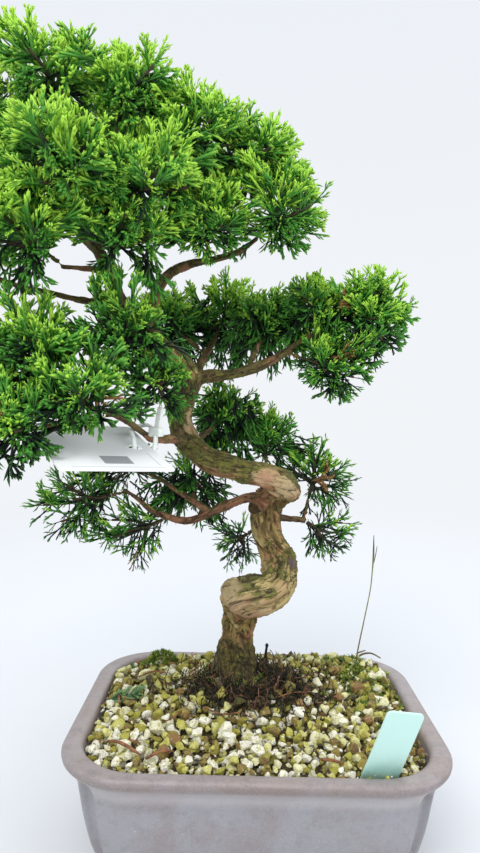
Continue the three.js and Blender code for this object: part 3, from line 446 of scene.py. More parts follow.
class Scatter:
    """Places for copies of a family of shapes, and the call that lays them."""

    def __init__(self, family, shapes):
        self.family = bpy.data.collections.new(family)
        self.shapes = []
        for index, shape in enumerate(shapes):
            made = bpy.data.objects.new(f"{family}_{index:02d}", shape)
            self.family.objects.link(made)
            self.shapes.append(made)
        self.clear()

    def clear(self):
        self.places, self.numbers = [], {"heading": [], "turn": [], "reach": [], "pick": []}

    def put(self, place, heading, reach, lot, **numbers):
        """Adds one copy that points along heading, turned and picked at random."""
        self.places.append(place)
        own = {"heading": tuple(heading), "turn": lot.uniform(0, 2 * math.pi), "reach": reach}
        own["pick"] = lot.randrange(len(self.shapes))
        for name, number in {**own, **numbers}.items():
            self.numbers.setdefault(name, []).append(number)

    def laid(self, name, material, spread, seed):
        """Plain mesh of everything put so far."""
        points = mesh_of(name, self.places, [], self.numbers)
        holder = linked(name, points)
        tree = bpy.data.node_groups.get("lay_shapes") or scatter_tree()
        modifier = holder.modifiers.new("lay_shapes", "NODES")
        modifier.node_group = tree
        contents = {"Shapes": self.family, "Finish": material, "Size spread": spread, "Seed": seed}
        for socket in tree.interface.items_tree:
            if socket.in_out == "INPUT" and socket.name in contents:
                modifier[socket.identifier] = contents[socket.name]
        mesh = applied(holder)
        bpy.data.meshes.remove(points)
        self.clear()
        return mesh

    def laid_last(self, *details):
        """Plain mesh as laid() gives it, after which the shapes are removed."""
        mesh = self.laid(*details)
        self.remove()
        return mesh

    def remove(self):
        for made in self.shapes:
            bpy.data.objects.remove(made)
        bpy.data.collections.remove(self.family)


# Pot


class PotSettings(bpy.types.PropertyGroup):
    """Sizes and colours of the pot."""

    rim_width: FloatProperty(
        name="Rim width", description="Width of the rim from end to end",
        default=POT_HIGH.x - POT_LOW.x, unit="LENGTH",
    )
    rim_depth: FloatProperty(
        name="Rim depth", description="Depth of the rim from front to back",
        default=POT_HIGH.y - POT_LOW.y, unit="LENGTH",
    )
    height: FloatProperty(
        name="Height", description="Height of the rim above the table",
        default=POT_HIGH.z, unit="LENGTH",
    )
    groove_depth: FloatProperty(
        name="Groove depth", description="Depth of the groove down the middle of each corner",
        default=0.0023, unit="LENGTH",
    )
    body_colour: FloatVectorProperty(
        name="Body colour", description="Main colour of the fired clay",
        default=linear(149, 148, 153), size=4, subtype="COLOR",
    )
    warm_colour: FloatVectorProperty(
        name="Warm colour", description="Browner colour of the rim and of patches on the body",
        default=linear(130, 116, 111), size=4, subtype="COLOR",
    )
    fleck_share: FloatProperty(
        name="Fleck share", description="Share of the clay's cells that hold a pale fleck",
        default=0.02, min=0.0, max=1.0, subtype="FACTOR",
    )


# Half width, half depth and corner radius of the rim's mouth and of the floor, in millimetres
MOUTH_HALF_X, MOUTH_HALF_Y, MOUTH_CORNER = 62.0, 48.6, 22.0
FLOOR_HALF_X, FLOOR_HALF_Y, FLOOR_CORNER = 50.5, 36.5, 18

# Height of the floor, corner radius outside the rim, and the drain holes at both sides
FLOOR_TOP = 9.5
RIM_CORNER = 26
DRAIN_PLACE, DRAIN_RADIUS, DRAIN_SIDES = 24, 6, 32

# Outside of the pot upwards: height, distance back from the rim and share of the corner groove
OUTSIDE = (
    (4.0, 21.5, 1), (4.0, 18.6, 1), (4.3, 17.2, 1), (5.0, 15.9, 1), (6.2, 14.7, 1), (8, 13.3, 1),
    (10, 12.1, 1), (12.5, 10.9, 1), (16, 9.6, 1), (20, 8.5, 1), (24, 7.6, 1), (28, 6.8, 1),
    (32, 6.2, 1), (35.5, 5.65, 1), (38.5, 5.15, 1), (40.5, 4.6, 0.9), (42, 3.95, 0.72),
    (43.3, 3.1, 0.5), (44.4, 2.15, 0.3), (45.3, 1.25, 0.14), (46.1, 0.55, 0.04), (46.9, 0.18, 0),
    (47.8, 0, 0), (48.6, 0.06, 0), (49.2, 0.35, 0), (49.65, 0.85, 0), (49.9, 1.5, 0), (50, 2.3, 0),
)
OUTSIDE_TOP = OUTSIDE[-1][0]

# Turns in degrees at which a corner has points, close together where the groove runs
HALF_CORNER = (0, 7, 14, 20, 25, 28, 30, 31.5, 32.7, 33.7, 34.7, 35.7, 36.7, 38, 41)
CORNER_TURNS = (*HALF_CORNER, 45, *(90 - turn for turn in reversed(HALF_CORNER)))

# Distances from a corner at which the straight sides have points
SIDE_PLACES = (8, 18)

# Degrees from the corner's middle to the groove's floor and edge, and the beads beside it
GROOVE_FLOOR, GROOVE_EDGE = 7.5, 11.8
BEAD_TURN, BEAD_WIDTH, BEAD_SHARE = 13.5, 3, 0.12

# Foot upwards: its scale and height
FOOT_LEVELS = ((0.93, 0), (0.985, 0.35), (1.0, 1.0), (1.0, 3.0), (1.05, 5.4))


def pot_ring(half_x, half_y, corner, z, groove=0.0):
    """One level of the pot, in millimetres, with a groove between two beads in each corner."""
    points = []
    for start, (sign_x, sign_y) in zip((0, 90, 180, 270), ((1, 1), (-1, 1), (-1, -1), (1, -1))):
        centre = Vector((sign_x * (half_x - corner), sign_y * (half_y - corner), z))
        lead, tail = math.radians(start), math.radians(start + 90)
        for away in reversed(SIDE_PLACES):
            points.append(centre + Vector((math.cos(lead), math.sin(lead), 0)) * corner)
            points[-1] += Vector((math.sin(lead), -math.cos(lead), 0)) * away
        for turn in CORNER_TURNS:
            angle = math.radians(start + turn)
            away = abs(turn - 45)
            dip = groove * soft_step(away, GROOVE_EDGE, GROOVE_FLOOR)
            dip -= BEAD_SHARE * groove * hump(away - BEAD_TURN, BEAD_WIDTH)
            points.append(centre + Vector((math.cos(angle), math.sin(angle), 0)) * (corner - dip))
        for away in SIDE_PLACES:
            points.append(centre + Vector((math.cos(tail), math.sin(tail), 0)) * corner)
            points[-1] += Vector((-math.sin(tail), math.cos(tail), 0)) * away
    return points


def pot_profile(pot):
    """Rings of the pot from the underside, up the outside, over the rim and down to the floor."""
    rim_x, rim_y = pot.rim_width / 2 / MM, pot.rim_depth / 2 / MM
    top = pot.height / MM
    groove = pot.groove_depth / MM

    def mouth(grow, z):
        return pot_ring(MOUTH_HALF_X + grow, MOUTH_HALF_Y + grow, MOUTH_CORNER + grow, z)

    rings = []
    for z, back, share in OUTSIDE:
        corner, level = RIM_CORNER - 0.75 * back, top - OUTSIDE_TOP + z
        rings.append(pot_ring(rim_x - back, rim_y - back, corner, level, groove * share))
    rings += [mouth(grow, top - drop) for grow, drop in ((2.6, 0.03), (1.4, 0.3), (0.6, 0.9), (0.1, 1.9))]
    rings += [mouth(-0.3, 46), mouth(-1, 44)]
    for share in (0.25, 0.5, 0.75, 1):
        half_x = blend(MOUTH_HALF_X - 1, FLOOR_HALF_X, share)
        half_y = blend(MOUTH_HALF_Y - 1, FLOOR_HALF_Y, share)
        corner = blend(MOUTH_CORNER - 1, FLOOR_CORNER, share)
        rings.append(pot_ring(half_x, half_y, corner, blend(44, FLOOR_TOP, share)))
    return rings


def foot_mesh(sign_x, sign_y):
    """Foot of the pot with softened edges."""
    outer_x, outer_y, side, taper, rounding = 44, 30, 18, 1.5, 1.6
    corners = [
        (outer_x, outer_y), (outer_x - side, outer_y - taper),
        (outer_x - side, outer_y - side), (outer_x - taper, outer_y - side),
    ]
    middle = Vector((outer_x - side / 2, outer_y - side / 2, 0))
    outline = []
    for i, corner in enumerate(corners):
        here = Vector((*corner, 0))
        before, after = Vector((*corners[i - 1], 0)), Vector((*corners[(i + 1) % 4], 0))
        for share in (0, 0.5, 1):
            a = here + (before - here).normalized() * rounding * (1 - share)
            b = here + (after - here).normalized() * rounding * share
            outline.append(here + (a - here) * (1 - share) + (b - here) * share)
    points = []
    for scale, z in FOOT_LEVELS:
        for point in outline:
            place = middle + (point - middle) * scale
            points.append(Vector((sign_x * place.x, sign_y * place.y, z)))
    faces = tube_faces(len(FOOT_LEVELS), len(outline))
    mesh = mesh_of("foot", [at_pot(*point) for point in points], faces)
    if sign_x * sign_y > 0:
        mesh.flip_normals()
    return mesh


@node_material
def stoneware(nodes):
    """Unglazed stoneware: mottled mauve grey with brown clouds, fine pits and pale flecks."""
    pot = bpy.context.scene.bonsai_pot
    place = nodes.place()
    height = nodes.part(place, "Z")
    clouds = nodes.noise(place, 38.0, 5.0, 0.6, 0.5)
    mottle = nodes.noise(place, 260.0, 4.0, 0.65)
    grain = nodes.noise(place, 1500.0, 3.0, 0.6)
    rim = height.rise(0.0428, 0.0462)
    warmth = (clouds.rise(0.45, 0.7) * 0.55 + rim * 0.75 + mottle.rise(0.55, 0.75) * 0.25).capped()
    colour = nodes.mix(warmth, tuple(pot.body_colour), tuple(pot.warm_colour))
    streak = nodes.noise(nodes.stretched(place, (60.0, 60.0, 14.0)), 1.0, 3.0, 0.6)
    colour = nodes.mix(streak.rise(0.5, 0.75) * 0.35, colour, linear(150, 146, 158))
    colour = nodes.mix(mottle.rise(0.52, 0.34) * 0.22, colour, linear(112, 106, 108))
    colour = nodes.mix(grain.rise(0.45, 0.75) * 0.3, colour, linear(172, 167, 170))
    # Painted light: the flare under the rim is lightened towards pale mauve, so it shows no shade under the
    # rim's overhang.
    flare_painted_light = height.rise(0.0375, 0.042) * height.rise(0.0472, 0.0445)
    colour = nodes.mix(flare_painted_light * 0.5, colour, linear(196, 190, 190))
    # Partly wear and partly a painted highlight: the rim's outer top edge is lightened in patches.
    worn_edge_and_highlight = height.rise(0.0483, 0.0491) * (mottle + clouds).rise(0.8, 1.2)
    colour = nodes.mix(worn_edge_and_highlight * 0.35, colour, linear(170, 160, 158))
    cell = nodes.cells(place, 210.0)
    chosen = nodes.cells(place, 210.0, output="Color")
    lot = nodes.part(chosen, "X")
    fleck = lot.below(pot.fleck_share) * cell.rise(0.1, 0.05)
    colour = nodes.mix(fleck * 0.6, colour, linear(214, 206, 200))
    relief = mottle * 0.7 + grain * 0.4 + clouds * 0.8 + fleck * 0.4
    roughness = 0.44 + mottle * 0.22 - rim * 0.05
    coat = {"Coat Weight": 0.12, "Coat Roughness": 0.35}
    nodes.surface(colour, roughness, (relief, 0.0005, 0.7), coat)


class MakePot(bpy.types.Operator):
    """Throw the flared rim, grooved corners, feet and drain holes of the pot"""

    bl_idname = "bonsai.make_pot"
    bl_label = "Pot"

    def execute(self, context):
        rings = pot_profile(context.scene.bonsai_pot)
        count = len(rings[0])
        points = [at_pot(*point) for ring in rings for point in ring]
        shell = mesh_of("pot_shell", points, tube_faces(len(rings), count))
        turns = [2 * math.pi * i / DRAIN_SIDES for i in range(DRAIN_SIDES)]
        round_points = [(DRAIN_RADIUS * math.cos(turn), DRAIN_RADIUS * math.sin(turn)) for turn in turns]
        cutters = []
        for middle in (-DRAIN_PLACE, DRAIN_PLACE):
            hole = [at_pot(middle + x, y, z) for z in (-4, 14) for x, y in round_points]
            cutters.append(linked("drain", mesh_of("drain", hole, tube_faces(2, DRAIN_SIDES))))
        cut = {"operation": "DIFFERENCE", "solver": "EXACT"}
        holes = [("BOOLEAN", {"object": cutter, **cut}) for cutter in cutters]
        shell = applied(shell, holes)
        for cutter in cutters:
            bpy.data.objects.remove(cutter)
        feet = [foot_mesh(sign_x, sign_y) for sign_x in (-1, 1) for sign_y in (-1, 1)]
        mesh = joined("pot_body", [shell, *feet])
        shade_smooth(mesh)
        mesh.set_sharp_from_angle(angle=math.radians(50))
        add_piece("pot_body", mesh, stoneware(), ["pot"])
        return {"FINISHED"}


@node_material
def drain_plastic(nodes):
    """Black mesh plastic with a fine moulded grain and dust."""
    place = nodes.place()
    grain = nodes.noise(place, 900.0, 3.0, 0.6)
    dust = nodes.noise(place, 120.0, 4.0, 0.6)
    colour = nodes.mix(dust.rise(0.45, 0.75), linear(24, 25, 27), linear(70, 62, 50))
    nodes.surface(colour, 0.55 + dust * 0.3, (grain, 0.0001, 0.6))


class MakeDrainCovers(bpy.types.Operator):
    """Finish the two plastic covers over the drain holes"""

    bl_idname = "bonsai.make_drain_covers"
    bl_label = "Drain covers"

    def execute(self, context):
        for node in ("drain_mesh_left", "drain_mesh_right"):
            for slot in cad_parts[node].material_slots:
                slot.link = "OBJECT"
                slot.material = drain_plastic()
        return {"FINISHED"}


# Soil


class SoilSettings(bpy.types.PropertyGroup):
    """Amounts and sizes of what covers the soil."""

    edge_height: FloatProperty(
        name="Edge height", description="Height of the soil at the pot's wall",
        default=0.0472, unit="LENGTH",
    )
    grain_count: IntProperty(
        name="Grains", description="Number of grains of pumice and baked clay",
        default=1500, min=0, max=2400,
    )
    crumb_count: IntProperty(
        name="Crumbs", description="Number of small broken grains between the others",
        default=2100, min=0, max=6000,
    )
    grain_size: FloatProperty(
        name="Grain size", description="Width of a middling grain", default=0.0042, unit="LENGTH",
    )
    rootlet_count: IntProperty(
        name="Rootlets", description="Number of dark rootlets and dead moss threads round the trunk",
        default=1150, min=0, max=3000,
    )
    moss_count: IntProperty(
        name="Moss tufts", description="Number of small green moss tufts", default=520, min=0, max=1200,
    )
    seed: IntProperty(name="Seed", description="Layout of the grains and rootlets", default=4)


# Mounds of the soil, in millimetres from the middle of the pot: x, y, height, width and depth
MOUNDS = ((-7, 15, 8.2, 40, 34), (42, 38, 4.5, 24, 20))

# Where the trunk stands, and the half width and half depth of the field that loose pieces fall on
TRUNK_X, TRUNK_Y = -9.2, 17
FIELD_X, FIELD_Y = 62, 49

# Gap between the bed and the pot's walls, and number of rings on the bed's top
WALL_GAP, BED_LEVELS = 0.45, 26

# Number of different shapes of each kind
PEBBLES, CRUMBS, ROOTLETS, TUFTS = 12, 8, 9, 6

# Two grains of a layer lie apart by at least this share of their summed widths
GRAINS_APART = 0.375

# Side of the square cells, in millimetres, in which near grains are looked up
CELL = 6

# Layers of grains: share of the grains that fill it, tries and height over the soil
GRAIN_LAYERS = ((0.4, 9000, -1.3), (0.8, 16000, 0.1), (1.0, 9000, 1.5))

# Mossy lump: x, y, half width, half depth, height and number of tufts
LUMP_X, LUMP_Y, LUMP_WIDE, LUMP_DEEP, LUMP_HIGH, LUMP_TUFTS = -42, 38, 6.2, 4.2, 5.4, 190


def soil_height(x, y):
    """Height of the soil in millimetres at a place measured from the middle of the pot."""
    edge = bpy.context.scene.bonsai_soil.edge_height / MM
    return edge + sum(
        height * math.exp(-(((x - centre_x) / wide) ** 2) - ((y - centre_y) / deep) ** 2)
        for centre_x, centre_y, height, wide, deep in MOUNDS
    )


def soil_slope(x, y):
    """Direction that points straight out of the soil."""
    here = soil_height(x, y)
    return Vector((here - soil_height(x + 1, y), here - soil_height(x, y + 1), 1)).normalized()


def inside_mouth(x, y, margin):
    """True if a place lies inside the pot's mouth, at least this far from its wall."""
    half_x, half_y, corner = MOUTH_HALF_X - margin, MOUTH_HALF_Y - margin, MOUTH_CORNER - margin
    over_x, over_y = abs(x) - (half_x - corner), abs(y) - (half_y - corner)
    if over_x > 0 and over_y > 0:
        return math.hypot(over_x, over_y) < corner
    return abs(x) < half_x and abs(y) < half_y


def anywhere(lot):
    """Random place on the field, which can lie outside the mouth's rounded corners."""
    return lot.uniform(-FIELD_X, FIELD_X), lot.uniform(-FIELD_Y, FIELD_Y)


def trunk_gap(x, y):
    return math.hypot(x - TRUNK_X, y - TRUNK_Y)


def soil_bed():
    """Closed body of the soil, from the pot's floor to its uneven top."""
    rings = [
        pot_ring(half_x - WALL_GAP, half_y - WALL_GAP, corner - WALL_GAP, z)
        for half_x, half_y, corner, z in (
            (FLOOR_HALF_X, FLOOR_HALF_Y, FLOOR_CORNER, FLOOR_TOP + 0.35),
            (MOUTH_HALF_X - 1, MOUTH_HALF_Y - 1, MOUTH_CORNER - 1, 43.2),
        )
    ]
    brim = rings[1]
    for level in range(BED_LEVELS, 0, -1):
        share = level / BED_LEVELS
        ring = []
        for point in brim:
            x, y = point.x * share, point.y * share
            rough = noise.noise(Vector((x, y, 3)) * 0.35) * 0.9
            rough += noise.noise(Vector((x, y, 8)) * 1.1) * 0.4
            ring.append(Vector((x, y, soil_height(x, y) - 1.7 + rough)))
        rings.append(ring)
    points = [at_pot(*point) for ring in rings for point in ring]
    return mesh_of("soil_bed", points, tube_faces(len(rings), len(brim)))


def pebble_shape(index, subdivisions):
    """Angular grain one unit across: a ball cut by a few planes and dented."""
    lot = random.Random(500 + index)
    shape = bmesh.new()
    bmesh.ops.create_icosphere(shape, subdivisions=subdivisions, radius=0.5)
    stretch = Vector((lot.uniform(0.85, 1.35), lot.uniform(0.75, 1.05), lot.uniform(0.62, 0.9)))
    cuts = []
    for _ in range(10):
        direction = Vector((lot.gauss(0, 1), lot.gauss(0, 1), lot.gauss(0, 1))).normalized()
        cuts.append((direction, lot.uniform(0.2, 0.4)))
    offset = Vector((lot.uniform(0, 50), 0, 0))
    for vertex in shape.verts:
        place = vertex.co.copy()
        for direction, reach in cuts:
            over = place.dot(direction) - reach
            if over > 0:
                place -= direction * over
        place *= 1 + 0.3 * noise.noise(place * 3.2 + offset)
        vertex.co = Vector(place[k] * stretch[k] for k in range(3))
    mesh = bpy.data.meshes.new("pebble")
    shape.to_mesh(mesh)
    shape.free()
    shade_smooth(mesh)
    mesh.set_sharp_from_angle(angle=math.radians(24))
    return mesh


def rootlet_shape(index):
    """Thin wandering thread one unit long, lying mostly flat."""
    lot = random.Random(700 + index)
    place, stops = Vector((0, 0, 0)), []
    heading = Vector((lot.gauss(0, 1), lot.gauss(0, 1), lot.uniform(0.1, 0.9))).normalized()
    for _ in range(5):
        stops.append((*place, lot.uniform(0.02, 0.036)))
        place = place + heading * 0.25
        heading = heading + Vector((lot.gauss(0, 0.55), lot.gauss(0, 0.55), lot.gauss(-0.12, 0.35)))
        heading.normalize()
    mesh = mesh_of(f"rootlet_{index:02d}", *Route(stops, 0.26).tube(3))
    shade_smooth(mesh)
    return mesh


def moss_shape(index):
    """Tuft of short pointed stems."""
    lot = random.Random(800 + index)
    cords = Cords()
    for _ in range(9):
        out = leaning(lot, 0.55, 1)
        start = Vector((lot.uniform(-0.25, 0.25), lot.uniform(-0.25, 0.25), 0))
        cords.add(start, out, lot.uniform(0.5, 1.0), 0.07, (0.2, 1.0))
    return cords.mesh(f"moss_{index:02d}")


@node_material
def earth(nodes):
    """Dark damp fines between the grains."""
    place = nodes.place()
    clods = nodes.noise(place, 420.0, 5.0, 0.7)
    damp_and_shade = nodes.noise(place, 60.0, 3.0, 0.6)
    colour = nodes.mix(clods.rise(0.35, 0.65), linear(42, 34, 20), linear(96, 82, 44))
    colour = nodes.mix(damp_and_shade.rise(0.5, 0.7) * 0.5, colour, linear(70, 80, 26))
    nodes.surface(colour, 0.85 + clods * 0.1, (clods, 0.0012, 0.9))


@node_material
def grit(nodes):
    """Grains of white pumice, algae-grown yellow green ones, olive and brown baked clay."""
    place = nodes.place()
    kind, shade = nodes.attribute("kind"), nodes.attribute("shade")
    pores = nodes.noise(place, 1900.0, 3.0, 0.7)
    film = nodes.noise(place, 430.0, 4.0, 0.7)
    ramp = [
        (0.0, linear(240, 236, 220)), (0.18, linear(228, 224, 186)), (0.3, linear(212, 208, 128)),
        (0.42, linear(190, 184, 88)), (0.54, linear(158, 152, 58)), (0.66, linear(142, 124, 60)),
        (0.77, linear(118, 98, 54)), (0.87, linear(142, 104, 62)), (0.94, linear(84, 70, 40)),
        (1.0, linear(46, 38, 24)),
    ]
    base = nodes.add("ShaderNodeValToRGB", {"stops": ramp}, {"Fac": kind})
    algae = nodes.mix(pores.rise(0.35, 0.65), linear(134, 132, 46), linear(184, 182, 88))
    colour = nodes.mix(film.rise(0.5, 0.6) * 0.65, base, algae)
    colour = nodes.mix(film.rise(0.42, 0.28) * 0.45, colour, linear(240, 234, 208))
    colour = nodes.mix(pores.rise(0.46, 0.3) * 0.5, colour, linear(96, 82, 46))
    # Painted shade: grains with a low shade number, those of the lower layers and the crumbs in the gaps,
    # are darkened towards near black brown; part of the number is random tone.
    colour = nodes.mix(shade.rise(0.55, 0.0) * 0.8, colour, linear(44, 37, 22))
    nodes.surface(colour, 0.72 + pores * 0.25, (pores * 0.7 + film * 0.5, 0.0006, 0.9))


@node_material
def rootlet_brown(nodes):
    """Rootlets from nearly black to reddish brown, greener in patches."""
    place = nodes.place()
    lots = nodes.noise(place, 180.0, 3.0, 0.6)
    tone = nodes.attribute("tone")
    colour = nodes.mix(tone.rise(0.35, 0.95), linear(22, 20, 13), linear(142, 102, 74))
    colour = nodes.mix(lots.rise(0.5, 0.75) * 0.5, colour, linear(64, 70, 30))
    nodes.surface(colour, 0.75 + lots * 0.2)


@node_material
def moss_green(nodes):
    """Live moss, darker at its foot."""
    tip, tone = nodes.attribute("tip"), nodes.attribute("tone")
    place = nodes.place()
    lots = nodes.noise(place, 300.0, 3.0, 0.6)
    growth_and_light = tip * 0.6 + tone * 0.5 + (lots - 0.5) * 0.4
    colour = nodes.mix(growth_and_light.rise(0.2, 0.6), linear(30, 44, 16), linear(86, 116, 34))
    colour = nodes.mix(growth_and_light.rise(0.6, 1.0), colour, linear(168, 182, 62))
    nodes.surface(colour, 0.6 + lots * 0.3)


class MakeSoil(bpy.types.Operator):
    """Fill the pot and cover the soil with grains, rootlets and moss"""

    bl_idname = "bonsai.make_soil"
    bl_label = "Soil"

    def execute(self, context):
        settings = context.scene.bonsai_soil
        lot = random.Random(settings.seed)
        bed = soil_bed()
        shade_smooth(bed)
        add_piece("soil_bed", bed, earth(), ["soil"])
        for name, fill, material in (
            ("soil_grains", self.grains, grit), ("soil_crumbs", self.crumbs, grit),
            ("rootlets", self.rootlets, rootlet_brown), ("moss", self.moss, moss_green),
        ):
            mesh = fill(settings, lot).laid_last(name, material(), 0.1, settings.seed)
            add_piece(name, mesh, material())
        return {"FINISHED"}

    def grains(self, settings, lot):
        """Grains in layers, spaced so that they touch but hardly overlap."""
        grains = Scatter("pebble", [pebble_shape(index, 2) for index in range(PEBBLES)])
        taken = {}
        size = settings.grain_size / MM

        def crowded(x, y, reach, layer):
            cell = (int(x // CELL), int(y // CELL))
            for i in (-1, 0, 1):
                for j in (-1, 0, 1):
                    for other_x, other_y, other in taken.get((cell[0] + i, cell[1] + j, layer), ()):
                        if math.hypot(x - other_x, y - other_y) < (reach + other) * GRAINS_APART:
                            return True
            taken.setdefault((*cell, layer), []).append((x, y, reach))
            return False

        for layer, (share, tries, lift) in enumerate(GRAIN_LAYERS):
            for _ in range(tries):
                if len(grains.places) >= settings.grain_count * share:
                    break
                x, y = anywhere(lot)
                reach = size * min(1.7, max(0.5, lot.lognormvariate(0, 0.34)))
                if not inside_mouth(x, y, reach * 0.42 + 0.2) or trunk_gap(x, y) < 10:
                    continue
                if layer > 0 and lot.random() < 0.85 * self.root_zone(x, y):
                    continue
                if crowded(x, y, reach, layer):
                    continue
                place = at_pot(x, y, soil_height(x, y) + lift)
                heading, look = self.lying(x, y, lot, 0.6), self.look(x, y, layer, lot)
                grains.put(place, heading, reach * MM, lot, **look)
        return grains

    def crumbs(self, settings, lot):
        """Small broken grains that fill the gaps."""
        crumbs = Scatter("crumb", [pebble_shape(60 + index, 1) for index in range(CRUMBS)])
        for _ in range(settings.crumb_count):
            x, y = anywhere(lot)
            if not inside_mouth(x, y, 0.9) or trunk_gap(x, y) < 9.5:
                continue
            reach = lot.uniform(1.0, 2.4)
            place = at_pot(x, y, soil_height(x, y) + lot.uniform(-1.0, 0.7))
            # Layer -1 gives the crumbs the lowest shade number: painted shade in the gaps.
            heading, look = self.lying(x, y, lot, 0.8), self.look(x, y, -1, lot)
            crumbs.put(place, heading, reach * MM, lot, **look)
        return crumbs

    @staticmethod
    def lying(x, y, lot, spread):
        """Direction out of the soil with some tilt."""
        return soil_slope(x, y) + leaning(lot, spread)

    @staticmethod
    def root_zone(x, y):
        """How much a place belongs to the dark patch of rootlets in front of the trunk."""
        ragged = 3.5 * noise.noise(Vector((x, y, 0)) * 0.16)
        return soft_step(math.hypot((x + 1) / 1.45, (y - 6) / 0.95) + ragged, 21, 14)

    def look(self, x, y, layer, lot):
        """Kind and shade of a grain: whiter at the front, olive at the right, dark by the trunk."""
        roots = self.root_zone(x, y)
        front = soft_step(-y, -12, 22) * (1 - 0.6 * soft_step(x, 14, 44))
        patch = 0.34 * noise.noise(Vector((x, y, 20)) * 0.11) - 0.2 * front
        kind = min(0.97, max(0.0, lot.random() ** 1.15 * 1.02 + patch + 0.12 * roots))
        # Painted shade: each layer lower down, and the crumbs below layer 0, get a lower shade number and
        # so a darker colour.
        shade = min(1.0, max(0.0, 0.56 + layer * 0.2 + lot.uniform(-0.36, 0.26) - 0.75 * roots))
        return {"kind": kind, "shade": shade if lot.random() < 0.9 else 1.0}

    def rootlets(self, settings, lot):
        """Dark threads that lie round the trunk, thickest towards the front right."""
        threads = Scatter("rootlet", [rootlet_shape(index) for index in range(ROOTLETS)])
        for _ in range(settings.rootlet_count):
            spread = abs(lot.gauss(0, 1)) * 9 + 7
            turn = lot.uniform(0, 2 * math.pi)
            x, y = -2 + 1.5 * spread * math.cos(turn), 9 + 0.95 * spread * math.sin(turn)
            if not inside_mouth(x, y, 4) or trunk_gap(x, y) < 8:
                continue
            place = at_pot(x, y, soil_height(x, y) + lot.uniform(-0.4, 1.6))
            heading = self.lying(x, y, lot, 0.3)
            threads.put(place, heading, lot.uniform(3.5, 8.5) * MM, lot, tone=lot.random() ** 2)
        return threads

    def moss(self, settings, lot):
        """Green tufts at the right, along the back wall, round the trunk and on the mossy lump."""
        tufts = Scatter("moss", [moss_shape(index) for index in range(TUFTS)])
        for _ in range(settings.moss_count):
            lot_place = lot.random()
            if lot_place < 0.5:
                x, y = lot.gauss(48, 9), lot.gauss(24, 15)
            elif lot_place < 0.75:
                x, y = lot.uniform(-50, 55), lot.gauss(42, 4)
            elif lot_place < 0.85:
                x, y = lot.gauss(-46, 4), lot.gauss(38, 3)
            else:
                turn = lot.uniform(0, 2 * math.pi)
                x, y = TRUNK_X + 12.5 * math.cos(turn), TRUNK_Y + 12.5 * math.sin(turn)
            if not inside_mouth(x, y, 1.2) or trunk_gap(x, y) < 9:
                continue
            place = at_pot(x, y, soil_height(x, y) + lot.uniform(-0.3, 0.8))
            heading = self.lying(x, y, lot, 0.3)
            tufts.put(place, heading, lot.uniform(1.5, 3.4) * MM, lot, tone=lot.random())
        for _ in range(LUMP_TUFTS):
            out = Vector((lot.gauss(0, 1), lot.gauss(0, 1), abs(lot.gauss(0, 1)))).normalized()
            x, y = LUMP_X + LUMP_WIDE * out.x, LUMP_Y + LUMP_DEEP * out.y
            place = at_pot(x, y, soil_height(LUMP_X, LUMP_Y) + 0.8 + LUMP_HIGH * out.z)
            tufts.put(place, out, lot.uniform(1.2, 2.3) * MM, lot, tone=lot.uniform(-0.1, 0.95))
        return tufts


# Trunk and branches


class WoodSettings(bpy.types.PropertyGroup):
    """Relief and colours of the trunk and branches."""

    ridge_height: FloatProperty(
        name="Ridge height", description="Height of the bark's long ridges on the thickest wood",
        default=0.0008, unit="LENGTH",
    )
    plate_lift: FloatProperty(
        name="Plate lift", description="How far strips of old bark stand off the wood",
        default=0.0007, unit="LENGTH",
    )
    slimming: FloatProperty(
        name="Slimming", default=0.0006, unit="LENGTH",
        description="How far the skin is drawn in on the thickest wood, to make room for relief",
    )
    grain: FloatProperty(
        name="Surface grain", description="Cell size of the surface that joins the stems",
        default=0.00058, unit="LENGTH",
    )
    bark_colour: FloatVectorProperty(
        name="Bark colour", description="Ochre of the weathered bark",
        default=linear(154, 130, 74), size=4, subtype="COLOR",
    )
    peeled_colour: FloatVectorProperty(
        name="Peeled colour", description="Pinkish brown of wood whose bark has come away",
        default=linear(168, 118, 84), size=4, subtype="COLOR",
    )
    algae_colour: FloatVectorProperty(
        name="Algae colour", description="Yellow green on the upper sides",
        default=linear(104, 110, 30), size=4, subtype="COLOR",
    )
    seed: IntProperty(name="Seed", description="Layout of the bark's strips", default=7, min=1)


